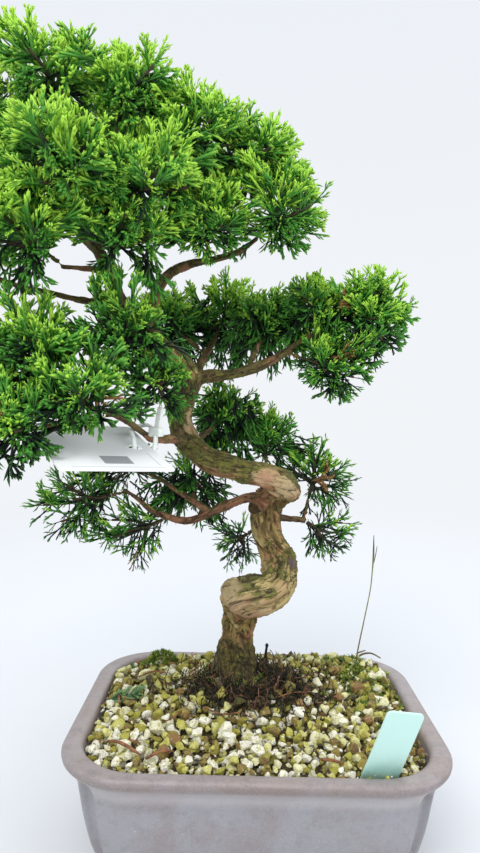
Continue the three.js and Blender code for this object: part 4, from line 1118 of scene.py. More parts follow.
# Each stop is x, y, z and the radius there, in millimetres from the middle of the pot's foot
STEMS = {
    "trunk": [
        (-9.5, 17, 16, 3), (-9.4, 17, 30, 7), (-9.3, 17, 44, 10.6), (-9.1, 17, 53, 11.2),
        (-8.3, 18, 59, 9.4), (-7.4, 18, 67, 8), (-6.8, 17.5, 75, 7.3), (-6.6, 16.5, 82, 7.4),
        (-6.4, 11, 88.8, 7.7), (-5, 3.5, 93.4, 8.3), (-0.6, -2.5, 95.6, 8.8), (5, -3, 97.2, 8.6),
        (9, 2.5, 101, 7.8), (9.3, 10, 105.6, 7.2), (7, 14, 110.3, 6.8), (4.4, 16, 115.8, 6.4),
        (2.8, 17, 122.1, 6.9), (3.4, 19, 127.8, 7.1), (6.7, 19, 132.6, 6.9), (10.9, 12, 135.8, 6),
        (10.7, 4, 138.5, 5.6), (5.4, -2, 141.9, 5.4), (-1.1, -4, 144.2, 5.1), (-8.2, -3, 145.5, 5.1),
        (-15.5, -1, 146.7, 5.2), (-22.4, 1, 149.8, 5.3), (-27.9, 3, 154, 5.4), (-31.7, 4, 159.5, 5.3),
        (-33.4, 5, 165.9, 5.2), (-32.1, 5, 172.5, 5.3), (-30.1, 4, 178.6, 5.7), (-31.6, 1, 184.9, 5),
        (-36.5, -3, 189.6, 4.3), (-41.6, -7, 194.2, 3.9),
    ],
    "leader": [
        (-40, -6, 192.5, 3.6), (-46.5, -11, 199.4, 3.1), (-51.7, -14, 204.5, 2.9),
        (-54.8, -16, 209.7, 3), (-56.4, -18, 215.2, 2.9), (-59, -20, 220.6, 2.6),
        (-61.6, -22, 226.5, 2.4), (-62.4, -24, 234.2, 2), (-61, -26, 243.2, 1.6),
        (-58.6, -28, 254.1, 1.3), (-57.7, -30, 263.6, 1),
    ],
    "second_leader": [
        (-40.6, -7, 192.8, 2.9), (-43.2, -7, 201.1, 2.5), (-43.4, -7, 208.4, 2.3),
        (-41.2, -7, 216.1, 2.4), (-36.2, -8, 221.4, 2.2), (-29.2, -10, 224.2, 1.9),
        (-20.4, -12, 225.5, 1.5), (-11, -14, 228.2, 1.3), (-3.6, -15, 233.3, 0.9),
    ],
    "crown_left": [
        (-60.4, -21, 224, 1.9), (-70, -20, 233, 1.7), (-82, -19, 241, 1.5), (-96, -18, 245, 1.3),
        (-112, -16, 246, 1),
    ],
    "crown_back": [
        (-61.5, -22, 227, 1.9), (-60, -10, 238, 1.8), (-60, 4, 248, 1.6), (-64, 18, 254, 1.4),
        (-69, 30, 257, 1.1),
    ],
    "right_arm": [
        (-31.5, 4, 178, 3.2), (-24.1, 4, 182, 2.8), (-16.4, 4, 182.8, 2.5), (-8, 4, 184.4, 2.3),
        (-0.3, 4, 187.2, 2.1), (7.2, 3, 191.5, 1.8), (13.4, 2, 196.4, 1.4), (21.6, 1, 200.5, 1.2),
        (30, 0, 204, 0.9),
    ],
    "low_left": [
        (4, 17, 130, 3.2), (-3.7, 14, 132.2, 2.4), (-9.6, 12, 130.7, 2.1), (-16.2, 11, 127.7, 2.1),
        (-22.8, 11, 124.2, 2), (-30, 12, 121.8, 1.8), (-38.1, 13, 123.1, 1.6), (-45.5, 14, 125.7, 1.4),
        (-51.2, 15, 130.1, 1.2), (-57.4, 16, 134, 1),
    ],
    "low_left_upper": [
        (-19.5, 11, 125.6, 1.8), (-26.4, 13, 129.3, 1.5), (-33, 15, 133.1, 1.4),
        (-39.8, 18, 136.8, 1.2), (-47, 20, 140.3, 1),
    ],
    "tag_arm": [
        (-32.5, 3, 157, 2.4), (-34.6, -8, 157, 2.1), (-37.3, -17, 157.3, 1.8), (-40, -24, 157.9, 1.6),
        (-41.9, -31, 159.9, 1.4), (-44.6, -36, 162.6, 1.3), (-47.8, -41, 165.1, 1.2),
        (-52.5, -46, 167.5, 0.9),
    ],
    "low_right": [
        (3, 18, 122.5, 2.6), (7.7, 24, 122.3, 1.9), (15.8, 31, 120.3, 1.6), (22, 34, 119.4, 1.2),
    ],
    "far_left": [
        (-53.6, -15, 207.4, 2.2), (-61, -20, 207.1, 1.6), (-69.1, -24, 207.7, 1.3),
        (-77, -28, 208.9, 1.2), (-85.9, -31, 210.3, 1.1), (-95.9, -34, 212.9, 1),
    ],
    "near_left": [
        (-57.4, -18.5, 217, 1.7), (-61.9, -22, 218.7, 1.3), (-67, -26, 218.4, 1.1),
        (-72, -32, 217.4, 1),
    ],
    "back_arm": [
        (-30, 5, 179.5, 2.8), (-26.2, 16, 187.1, 2.1), (-23.8, 26, 194, 1.8), (-20.5, 34, 201.2, 1.3),
    ],
    "low_back": [
        (-28.6, 4, 155, 2.2), (-25, 12, 157.5, 1.6), (-21, 20, 160.2, 1.2),
    ],
    "front_left": [
        (-35.2, -2, 188.4, 2.6), (-43.4, -12, 187.2, 1.8), (-50, -22, 185.6, 1.5),
        (-57, -30, 184.6, 1.2), (-63, -35, 184.2, 1),
    ],
}

# Burls, knots and hollows of the trunk: x, y, z, width and height
SWELLINGS = [
    (-14, 11, 89, 4.5, 0.5), (-11, 3, 96, 5.0, 2.0), (-8, -1, 89, 4.0, 0.9),
    (12.5, 0, 92, 5.0, 0.9), (4, -10, 93, 4.0, 0.8), (-12, 16, 60, 5.0, 1.0),
    (3.5, 8, 112, 2.6, 1.0), (9, -2, 134, 4.0, 1.0), (13.5, 14, 133, 4.5, 1.1),
    (-31, 2, 168, 3.5, 0.8), (-9, 7, 79, 2.6, 0.7), (-10.5, 9, 73, 1.4, -0.9),
    (4.2, 10.2, 126.5, 1.5, -1.3), (5.6, 9.4, 115.4, 1.6, -0.8), (-28, -3, 152, 2.5, 0.7),
    (-17, -7, 147, 3.0, 0.6), (-2, -10, 144, 3.0, -0.6), (7, -10, 139, 3.2, 0.9),
]

# Smooth places that have lost their bark: x, y, z and width
BARE = [
    (-9, -1, 94, 7), (2, -9, 90, 4.5), (13, -6, 138, 8.5), (3, -9, 143, 6.5), (9, 0, 117, 5),
    (-28, -3, 163, 5),
]

# Scar of a cut branch: x, y, z and width
SCAR = (14.5, 3.5, 106.5, 3.4)

# Surface roots: heading in degrees, length and radius in millimetres
ROOTS = (
    (205, 19, 3.6), (262, 17, 3.9), (318, 18, 3.4), (20, 17, 3.2), (95, 14, 3.6), (150, 16, 3.1),
)

# Steps along a root: share of its length, height over the soil and share of its radius
ROOT_STEPS = ((0.2, 1.5, 1.0), (0.5, -0.8, 0.8), (0.8, -3.0, 0.5), (1.0, -5.5, 0.3))

# Radius in millimetres of wood with the full relief, and the relief's heights in metres
FULL_GIRTH = 7.5
LUMP_HEIGHT, CRACK_DEPTH, SCAR_DEPTH, TWIG_COVER = 0.0017, 0.0008, 0.0007, 0.0003

# Turn of the fibres round a stem, in radians for each millimetre
TWIST = 0.028


def surface_roots():
    """Stops of the roots that show at the trunk's foot."""
    roots = []
    for heading, reach, radius in ROOTS:
        turn = math.radians(heading)
        stops = []
        for share, lift, size in ROOT_STEPS:
            x = TRUNK_X + math.cos(turn) * reach * share
            y = TRUNK_Y + math.sin(turn) * reach * share
            stops.append((x, y, soil_height(x, y) + lift, radius * size))
        roots.append(stops)
    return roots


def stem_route(stops, step=0.7):
    """Route in metres through stops given in millimetres."""
    placed = [(*at_pot(*stop[:3]), stop[3] * MM) for stop in stops]
    return Route(placed, step * MM)


def wood_bulk(routes, grain):
    """One closed skin over all stems, roots and the twigs of the CAD wood."""
    points, triangles = merged_copy("wood")
    parts = [mesh_of("twigs", points, triangles)]
    for route in routes:
        parts.append(mesh_of("stem", *route.tube(20)))
    bulk = joined("bulk", parts)
    return applied(bulk, [
        ("REMESH", {"mode": "VOXEL", "voxel_size": grain}),
        ("SMOOTH", {"factor": 0.5, "iterations": 3}),
    ])


def bark_relief(fibre):
    """Ridge, fine grain, the flake's own lot, distance from its edge, and lump at a place."""
    across, around, along = fibre

    def scaled(crosswise, lengthwise):
        return Vector((across * crosswise, around * crosswise, along * lengthwise))

    warp, torn = noise.noise_vector(scaled(0.14, 0.08)), noise.noise_vector(scaled(0.6, 0.3))
    ridge = 1 - abs(noise.noise(scaled(0.34, 0.05) + warp)) * 2.4
    fine = 1 - abs(noise.noise(scaled(1.1, 0.17) + warp * 1.6)) * 2.0
    distances, centres = noise.voronoi(scaled(0.27, 0.1) + warp * 0.8 + torn * 0.22)
    lot = noise.cell(centres[0] * 9.7)
    edge = distances[1] - distances[0]
    lump = noise.noise(scaled(0.2, 0.1) + Vector((3, 9, 4)))
    crease = abs(noise.noise(scaled(0.16, 0.42) + warp * 1.5)) * 5
    lump -= 0.35 * max(0.0, 1 - crease) * soft_step(lump, -0.2, 0.3)
    return ridge, fine, lot - math.floor(lot), edge, lump


def dress_wood(mesh, routes, settings):
    """Moves the skin out to its bark and stores what the bark's colours follow."""
    # Without a seed, noise_vector starts from the clock
    noise.seed_set(settings.seed)
    centres = np.vstack([route.points for route in routes])
    radii = np.concatenate([route.radii for route in routes])
    sides = np.vstack([route.side for route in routes])
    others = np.vstack([route.other for route in routes])
    along = np.concatenate([route.along + 0.137 * i for i, route in enumerate(routes)])
    finder = kdtree.KDTree(len(centres))
    for i, centre in enumerate(centres):
        finder.insert(centre, i)
    finder.balance()
    count = len(mesh.vertices)
    moved, fibres = np.zeros((count, 3)), np.zeros((count, 3))
    girths, cracks, flakes, scars, bares = (np.zeros(count) for _ in range(5))
    bumps = [(at_pot(x, y, z), width * MM, height * MM) for x, y, z, width, height in SWELLINGS]
    bare_spots = [(at_pot(x, y, z), width * MM) for x, y, z, width in BARE]
    scar_place, scar_width = at_pot(*SCAR[:3]), SCAR[3] * MM

    def nearness(found):
        return found[2] / (radii[found[1]] + 0.4 * MM)

    for i, vertex in enumerate(mesh.vertices):
        place, normal = vertex.co, vertex.normal
        _, k, distance = min(finder.find_n(place, 10), key=nearness)
        offset = place - Vector(centres[k])
        angle = math.atan2(offset.dot(Vector(others[k])), offset.dot(Vector(sides[k])))
        angle += along[k] / MM * TWIST
        girth = radii[k] / MM
        on_twig = distance > radii[k] * 1.9 + 0.5 * MM
        fibre = (girth * math.cos(angle), girth * math.sin(angle), along[k] / MM)
        ridge, fine, flake, edge, lump = bark_relief(fibre)
        crack = 1 - soft_step(edge, 0.015, 0.13)
        bare = max(hump((place - centre).length, width) for centre, width in bare_spots)
        ragged = (0.6 * (flake - 0.5) + 0.4 * lump) * soft_step(bare, 0.0, 0.1)
        bare = soft_step(bare + ragged, 0.2, 0.7)
        calm = 1 - 0.65 * bare
        crack *= 0.35 + 0.65 * soft_step(fine, 0.9, 0.2)
        crack = min(1.0, crack + 0.5 * soft_step(-ridge, -0.25, 0.5))
        size = min(1.0, girth / FULL_GIRTH)
        out = settings.ridge_height * size * ((ridge - 0.55) * 0.7 + 0.3 * fine) * calm
        lift = settings.plate_lift * (0.2 + 0.8 * size) * (flake - 0.5)
        out += lift * soft_step(edge, 0.0, 0.16) * calm
        out += LUMP_HEIGHT * size * lump - settings.slimming * size
        out -= CRACK_DEPTH * (0.15 + 0.85 * size) * crack * calm
        for centre, width, height in bumps:
            away = (place - centre).length
            if away < 2.5 * width:
                out += height * hump(away, width)
        scar = hump((place - scar_place).length, scar_width)
        scars[i] = soft_step(scar, 0.35, 0.6)
        out -= SCAR_DEPTH * soft_step(scar, 0.3, 0.6)
        if on_twig:
            out = TWIG_COVER + 0.0001 * fine
            girth = 1.1
        moved[i] = place + normal * out
        fibres[i] = [value * MM for value in fibre]
        girths[i] = girth * MM
        cracks[i] = crack * calm
        bares[i] = bare
        flakes[i] = flake
    mesh.vertices.foreach_set("co", moved.ravel())
    stored = {"fibre": fibres, "girth": girths, "crack": cracks}
    stored.update({"flake": flakes, "scar": scars, "bare": bares})
    for name, values in stored.items():
        store(mesh, name, values)
    mesh.update()


@node_material
def bark(nodes):
    """Stringy juniper bark: ochre strips, pinkish peeled wood, algae above and moss at the foot."""
    wood = bpy.context.scene.bonsai_wood
    place = nodes.place()
    height = nodes.part(place, "Z")
    up = nodes.part(nodes.add("ShaderNodeNewGeometry", output="Normal"), "Z")
    fibre = nodes.attribute("fibre", "Vector")
    girth, crack = nodes.attribute("girth"), nodes.attribute("crack")
    flake, scar, bare = (nodes.attribute(name) for name in ("flake", "scar", "bare"))
    long_grain = nodes.noise(nodes.stretched(fibre, (1000.0, 1000.0, 110.0)), 1.0, 4.0, 0.65, 0.4)
    fine_grain = nodes.noise(nodes.stretched(fibre, (3200.0, 3200.0, 420.0)), 1.0, 3.0, 0.6)
    patches = nodes.noise(nodes.stretched(fibre, (210.0, 210.0, 65.0)), 1.0, 4.0, 0.6, 0.6)
    clouds = nodes.noise(place, 85.0, 4.0, 0.62)
    shades = [
        (0.0, linear(94, 74, 34)), (0.2, tuple(wood.bark_colour)), (0.42, linear(156, 134, 78)),
        (0.55, tuple(wood.peeled_colour)), (0.68, linear(118, 94, 50)), (0.8, linear(186, 168, 110)),
        (0.92, linear(130, 80, 54)),
    ]
    lot = (flake + (patches - 0.5) * 0.35).capped()
    colour = nodes.add("ShaderNodeValToRGB", {"stops": shades}, {"Fac": lot})
    # Partly painted light: pale streaks stand in for highlights on the raised fibres and dark streaks for
    # shade in the furrows, over the bark's own streaking.
    colour = nodes.mix(long_grain.rise(0.52, 0.74) * 0.5, colour, linear(206, 190, 140))
    colour = nodes.mix(long_grain.rise(0.5, 0.3) * 0.7, colour, linear(84, 62, 34))
    # Partly painted light: the coil, where light falls most on the trunk, is lightened by height, along
    # with its paler plates.
    coil = height.rise(0.083, 0.091) * height.rise(0.112, 0.1)
    colour = nodes.mix(coil * (0.15 + patches * 0.6), colour, linear(214, 196, 138))
    smooth_wood = nodes.mix(clouds.rise(0.35, 0.6), linear(190, 150, 118), linear(210, 184, 142))
    peeled = (bare + (patches - 0.5) * 0.9).rise(0.2, 0.75) * bare.rise(0.0, 0.3)
    colour = nodes.mix(peeled * 0.75, colour, smooth_wood)
    thin = girth.rise(0.0042, 0.0020)
    young = nodes.mix(clouds.rise(0.4, 0.65), linear(142, 98, 72), linear(94, 68, 46))
    young = nodes.mix(long_grain.rise(0.5, 0.7) * 0.5, young, linear(184, 148, 110))
    colour = nodes.mix(thin * 0.85, colour, young)
    film = nodes.noise(place, 420.0, 4.0, 0.7)
    shade = height.rise(0.13, 0.155) * 0.2
    damp_and_shade = (clouds + up * 0.1 + shade + (film - 0.5) * 0.35 + (flake - 0.5) * 0.14).rise(0.56, 0.64)
    algae = nodes.mix(film.rise(0.35, 0.65), linear(54, 58, 14), tuple(wood.algae_colour))
    colour = nodes.mix(damp_and_shade * (0.85 - thin * 0.25) * (1 - bare * 0.7), colour, algae)
    moss = (height.rise(0.087, 0.058) + (clouds - 0.5) * 0.9).rise(0.3, 0.8)
    # Partly painted light: the moss at the foot runs from near black, painted shade in the hollows between
    # tufts, to moss green on their tops.
    tuft = nodes.noise(place, 480.0, 4.0, 0.75)
    cushions = nodes.mix(tuft.rise(0.35, 0.7), linear(16, 14, 8), linear(112, 106, 42))
    colour = nodes.mix(moss * 0.88, colour, cushions)
    split = nodes.noise(nodes.stretched(fibre, (360.0, 360.0, 95.0)), 1.0, 2.0, 0.5, 0.9) - 0.5
    splits = (split * split).rise(0.0007, 0.0001) * clouds.rise(0.36, 0.5)
    crack = (crack + splits * 0.8).capped()
    # Partly painted shade: cracks, splits and furrows are darkened nearly to black, standing in for the
    # shade in them as well as for the dark bark there.
    colour = nodes.mix(crack * 0.82, colour, linear(40, 29, 17))
    old_wood = nodes.mix(fine_grain.rise(0.4, 0.6), linear(84, 70, 64), linear(112, 98, 90))
    colour = nodes.mix(scar, colour, old_wood)
    relief = long_grain * 0.9 + fine_grain * 0.4 + film * 0.3 - crack * 0.6 + moss * tuft * 0.8
    nodes.surface(colour, 0.78 + fine_grain * 0.2 - damp_and_shade * 0.12, (relief, 0.0007, 0.9))


class MakeWood(bpy.types.Operator):
    """Grow the trunk, surface roots and branches with their stringy bark"""

    bl_idname = "bonsai.make_wood"
    bl_label = "Trunk and branches"

    def execute(self, context):
        settings = context.scene.bonsai_wood
        routes = [stem_route(stops) for stops in [*STEMS.values(), *surface_roots()]]
        mesh = wood_bulk(routes, settings.grain)
        dress_wood(mesh, routes, settings)
        shade_smooth(mesh)
        add_piece("trunk_and_branches", mesh, bark(), ["wood"])
        return {"FINISHED"}


# Foliage


class FoliageSettings(bpy.types.PropertyGroup):
    """Sizes and colours of the cord-like shoots."""

    shape_count: IntProperty(
        name="Spray shapes", description="Number of different sprays", default=14, min=1, max=40,
    )
    cord_radius: FloatProperty(
        name="Cord radius", description="Radius of a cord as a share of its spray's length",
        default=0.026, min=0.005, max=0.2,
    )
    fullness: FloatProperty(
        name="Fullness", default=1.45, min=1.0, max=3.0,
        description="How much thicker the cords of the full sprays are than those of the thin ones",
    )
    thin_count: IntProperty(
        name="Thin sprays", default=5, min=1, max=20,
        description="Number of the spray shapes that have few cords, mostly for the low pads",
    )
    second_share: FloatProperty(
        name="Second sprays", description="Share of the shoots that carry a second spray lower down",
        default=0.17, min=0.0, max=1.0, subtype="FACTOR",
    )
    filling: FloatProperty(
        name="Filling", description="Share of the stems' facets that carry one more spray",
        default=0.17, min=0.0, max=1.0, subtype="FACTOR",
    )
    bridges: IntProperty(
        name="Bridging sprays", description="Sprays of each pad that reach over to each neighbour",
        default=7, min=0, max=30,
    )
    draped: IntProperty(
        name="Hanging sprays", default=55, min=0, max=200,
        description="Long dark sprays that hang below each pad behind the branches",
    )
    dead_share: FloatProperty(
        name="Dead share", description="Share of sprays that have dried to orange brown",
        default=0.004, min=0.0, max=1.0, subtype="FACTOR",
    )
    tip_colour: FloatVectorProperty(
        name="Tip colour", description="Yellow green of the growing tips",
        default=linear(170, 220, 72), size=4, subtype="COLOR",
    )
    leaf_colour: FloatVectorProperty(
        name="Leaf colour", description="Middle green of the cords",
        default=linear(76, 148, 46), size=4, subtype="COLOR",
    )
    # Painted shade, partly older cords: the deep colour darkens the cords' bases and the sprays inside the
    # pads, at the back and low down.
    deep_colour: FloatVectorProperty(
        name="Deep colour", description="Dark green of older cords inside and at the back",
        default=linear(5, 30, 16), size=4, subtype="COLOR",
    )
    seed: IntProperty(name="Seed", description="Layout of the sprays", default=7)


# Pads behind the branches, below which long dark sprays hang
DRAPED_PADS = (
    "foliage_back_high", "foliage_back_left", "foliage_back_low",
    "foliage_right_back", "foliage_right_inner", "foliage_low_left_inner",
)

CORD_SIDES = 3

# How far along a growing tip it is widest
LEAF_BELLY = 0.62

# Side cords of a full and of a thin spray: place on the main cord and length
FULL_SIDES = ((0.12, 0.64), (0.3, 0.6), (0.47, 0.52), (0.64, 0.4))
FEW_SIDES = ((0.25, 0.62), (0.55, 0.45))

# Shortest shoot of a CAD node, and how near pads lie that sprays bridge, in metres
SHORTEST_SHOOT = 3.2 * MM
BRIDGED = 43 * MM

# Tone that marks a dead spray
DEAD_TONE = -2.0


class Cords:
    """Collects pointed cords as one mesh, with how near each point is to a growing tip."""

    def __init__(self):
        self.points, self.faces, self.tips = [], [], []

    def add(self, start, heading, length, radius, tips, curl=Vector((0, 0, 0)), shares=(0, 0.58)):
        """Adds a cord, and returns a function that gives a place and heading on it."""
        heading = heading.normalized()

        def place(share):
            return start + heading * (length * share) + curl * (length * share * share)

        def ahead(share):
            return (heading + curl * (2 * share)).normalized()

        side = heading.orthogonal().normalized()
        first = len(self.points)
        for share in shares:
            direction = ahead(share)
            across = (side - direction * side.dot(direction)).normalized()
            other = direction.cross(across)
            for k in range(CORD_SIDES):
                turn = 2 * math.pi * k / CORD_SIDES
                offset = across * math.cos(turn) + other * math.sin(turn)
                self.points.append(place(share) + offset * radius)
                self.tips.append(blend(*tips, share))
        self.points.append(place(1.0))
        self.tips.append(tips[1])
        for ring in range(len(shares) - 1):
            for k in range(CORD_SIDES):
                low, high = first + ring * CORD_SIDES, first + (ring + 1) * CORD_SIDES
                j = (k + 1) % CORD_SIDES
                self.faces.append((low + k, low + j, high + j, high + k))
        last, top = first + (len(shares) - 1) * CORD_SIDES, len(self.points) - 1
        for k in range(CORD_SIDES):
            self.faces.append((last + k, last + (k + 1) % CORD_SIDES, top))
        return lambda share: (place(share), ahead(share))

    def leaf(self, start, heading, length, radius, tips):
        """Adds a short growing tip that is widest in the middle."""
        heading = heading.normalized()
        side = heading.orthogonal().normalized()
        other = heading.cross(side)
        first = len(self.points)
        middle = start + heading * (length * LEAF_BELLY)
        left, right = middle + (side - other * 0.5) * radius, middle - (side + other * 0.5) * radius
        self.points += [start, left, right, start + heading * length + other * radius * 0.6]
        self.tips += [tips[0], blend(*tips, LEAF_BELLY), blend(*tips, LEAF_BELLY), tips[1]]
        for face in ((0, 1, 2), (0, 3, 1), (0, 2, 3), (1, 3, 2)):
            self.faces.append(tuple(first + corner for corner in face))

    def mesh(self, name):
        mesh = mesh_of(name, self.points, self.faces, {"tip": self.tips})
        shade_smooth(mesh)
        return mesh


def spray_shape(index, settings):
    """A spray one unit long: a thin cord with side cords that fork into slender growing tips."""
    lot = random.Random(900 + index)
    cords = Cords()
    thin = index < settings.thin_count
    radius = settings.cord_radius * (1 if thin else settings.fullness)
    up = Vector((0, 0, 1))
    sway = Vector((lot.uniform(-0.2, 0.2), lot.uniform(-0.2, 0.2), 0))

    def fork(place, ahead, length, spread, start_tip):
        turn = lot.uniform(0, 2 * math.pi)
        side = ahead.orthogonal().normalized()
        out = side * math.cos(turn) + ahead.cross(side) * math.sin(turn)
        heading = ahead + out * math.tan(math.radians(spread))
        cords.leaf(place, heading, length, radius * 1.15, (start_tip, 1.0))

    main = cords.add(Vector(), up, 0.94, radius, (0.0, 0.95), sway, (0, 0.84))
    first_turn = lot.uniform(0, 2 * math.pi)
    for i, (share, length) in enumerate(FEW_SIDES if thin else FULL_SIDES):
        place, ahead = main(share)
        turn = first_turn + i * 2.5 + lot.uniform(-0.5, 0.5)
        out = Vector((math.cos(turn), math.sin(turn), 0))
        lean = math.radians(lot.uniform(20, 42))
        heading = ahead * math.cos(lean) + out * math.sin(lean)
        length *= lot.uniform(0.75, 1.25)
        start_tip = 0.1 + 0.45 * share
        curl = (up - heading) * 0.2
        side = cords.add(place, heading, length, radius, (start_tip, 1.0), curl, (0, 0.86))
        for where, reach, widest, later in (
            ((0.28, 0.42), (0.5, 0.7), 32, 0.2), ((0.5, 0.66), (0.4, 0.55), 30, 0.35),
        ):
            foot = side(lot.uniform(*where))
            fork(*foot, length * lot.uniform(*reach), lot.uniform(18, widest), start_tip + later)
    for share in (0.8, 0.86):
        fork(*main(share), 0.2 * lot.uniform(0.8, 1.2), lot.uniform(20, 32), 0.75)
    return cords.mesh(f"spray_{index:02d}")


def shoots_of(node):
    """Shoots of a foliage node as (foot, tip), and its stems as points and triangles."""
    points, triangles = merged_copy(node)
    faces_at = [[] for _ in points]
    for index, triangle in enumerate(triangles):
        for corner in triangle:
            faces_at[corner].append(index)
    shoots, drawn_out, stems = [], set(), []
    for corner, faces in enumerate(faces_at):
        if len(faces) != 3:
            continue
        follows = {}
        for face in faces:
            a, b, c = triangles[face]
            while c != corner:
                a, b, c = b, c, a
            follows[a] = b
        ring = [min(follows)]
        ring += [follows[ring[0]]]
        ring += [follows.get(ring[1])]
        if ring[2] is None or len(follows) != 3:
            continue
        foot = points[ring].mean(axis=0)
        if np.linalg.norm(points[corner] - foot) < SHORTEST_SHOOT:
            continue
        shoots.append((Vector(foot), Vector(points[corner])))
        drawn_out.update(faces)
        stems.append(ring)
    stems += [list(triangle) for index, triangle in enumerate(triangles) if index not in drawn_out]
    return shoots, points, stems


@node_material
def foliage_green(nodes):
    """Scale leaves: deep green cords that brighten to yellow green at the growing tips."""
    leaf = bpy.context.scene.bonsai_foliage
    place = nodes.place()
    tip, tone = nodes.attribute("tip"), nodes.attribute("tone")
    clouds = nodes.noise(place, 75.0, 2.0, 0.5)
    scales = nodes.noise(place, 1300.0, 2.0, 0.6)
    # Painted light and shade along with growth: each cord's base and each spray's tone set how dark or
    # bright it is.
    growth_and_light = tip * tip * 0.5 + tip * 0.42 + tone * 0.7 - 0.16
    growth_and_light += (clouds - 0.5) * 0.5 + (scales - 0.5) * 0.3
    colour = nodes.mix(growth_and_light.rise(0.08, 0.72), tuple(leaf.deep_colour), tuple(leaf.leaf_colour))
    colour = nodes.mix(growth_and_light.rise(0.7, 1.15), colour, tuple(leaf.tip_colour))
    dead = tone.below(-0.9)
    dry = nodes.mix(scales.rise(0.35, 0.65), linear(122, 84, 46), linear(170, 130, 80))
    colour = nodes.mix(dead, colour, dry)
    nodes.surface(colour, 0.5 + scales * 0.2, (scales, 0.0003, 0.7), {"Specular IOR Level": 0.35})


@node_material
def twig_bark(nodes):
    """Thin brown twigs that turn green where the leaves begin."""
    place = nodes.place()
    patches = nodes.noise(place, 240.0, 3.0, 0.6)
    grain = nodes.noise(place, 1500.0, 3.0, 0.6)
    colour = nodes.mix(patches.rise(0.4, 0.62), linear(74, 54, 34), linear(40, 62, 28))
    colour = nodes.mix(grain.rise(0.55, 0.8) * 0.5, colour, linear(122, 90, 58))
    nodes.surface(colour, 0.7 + grain * 0.2, (grain, 0.0003, 0.7))


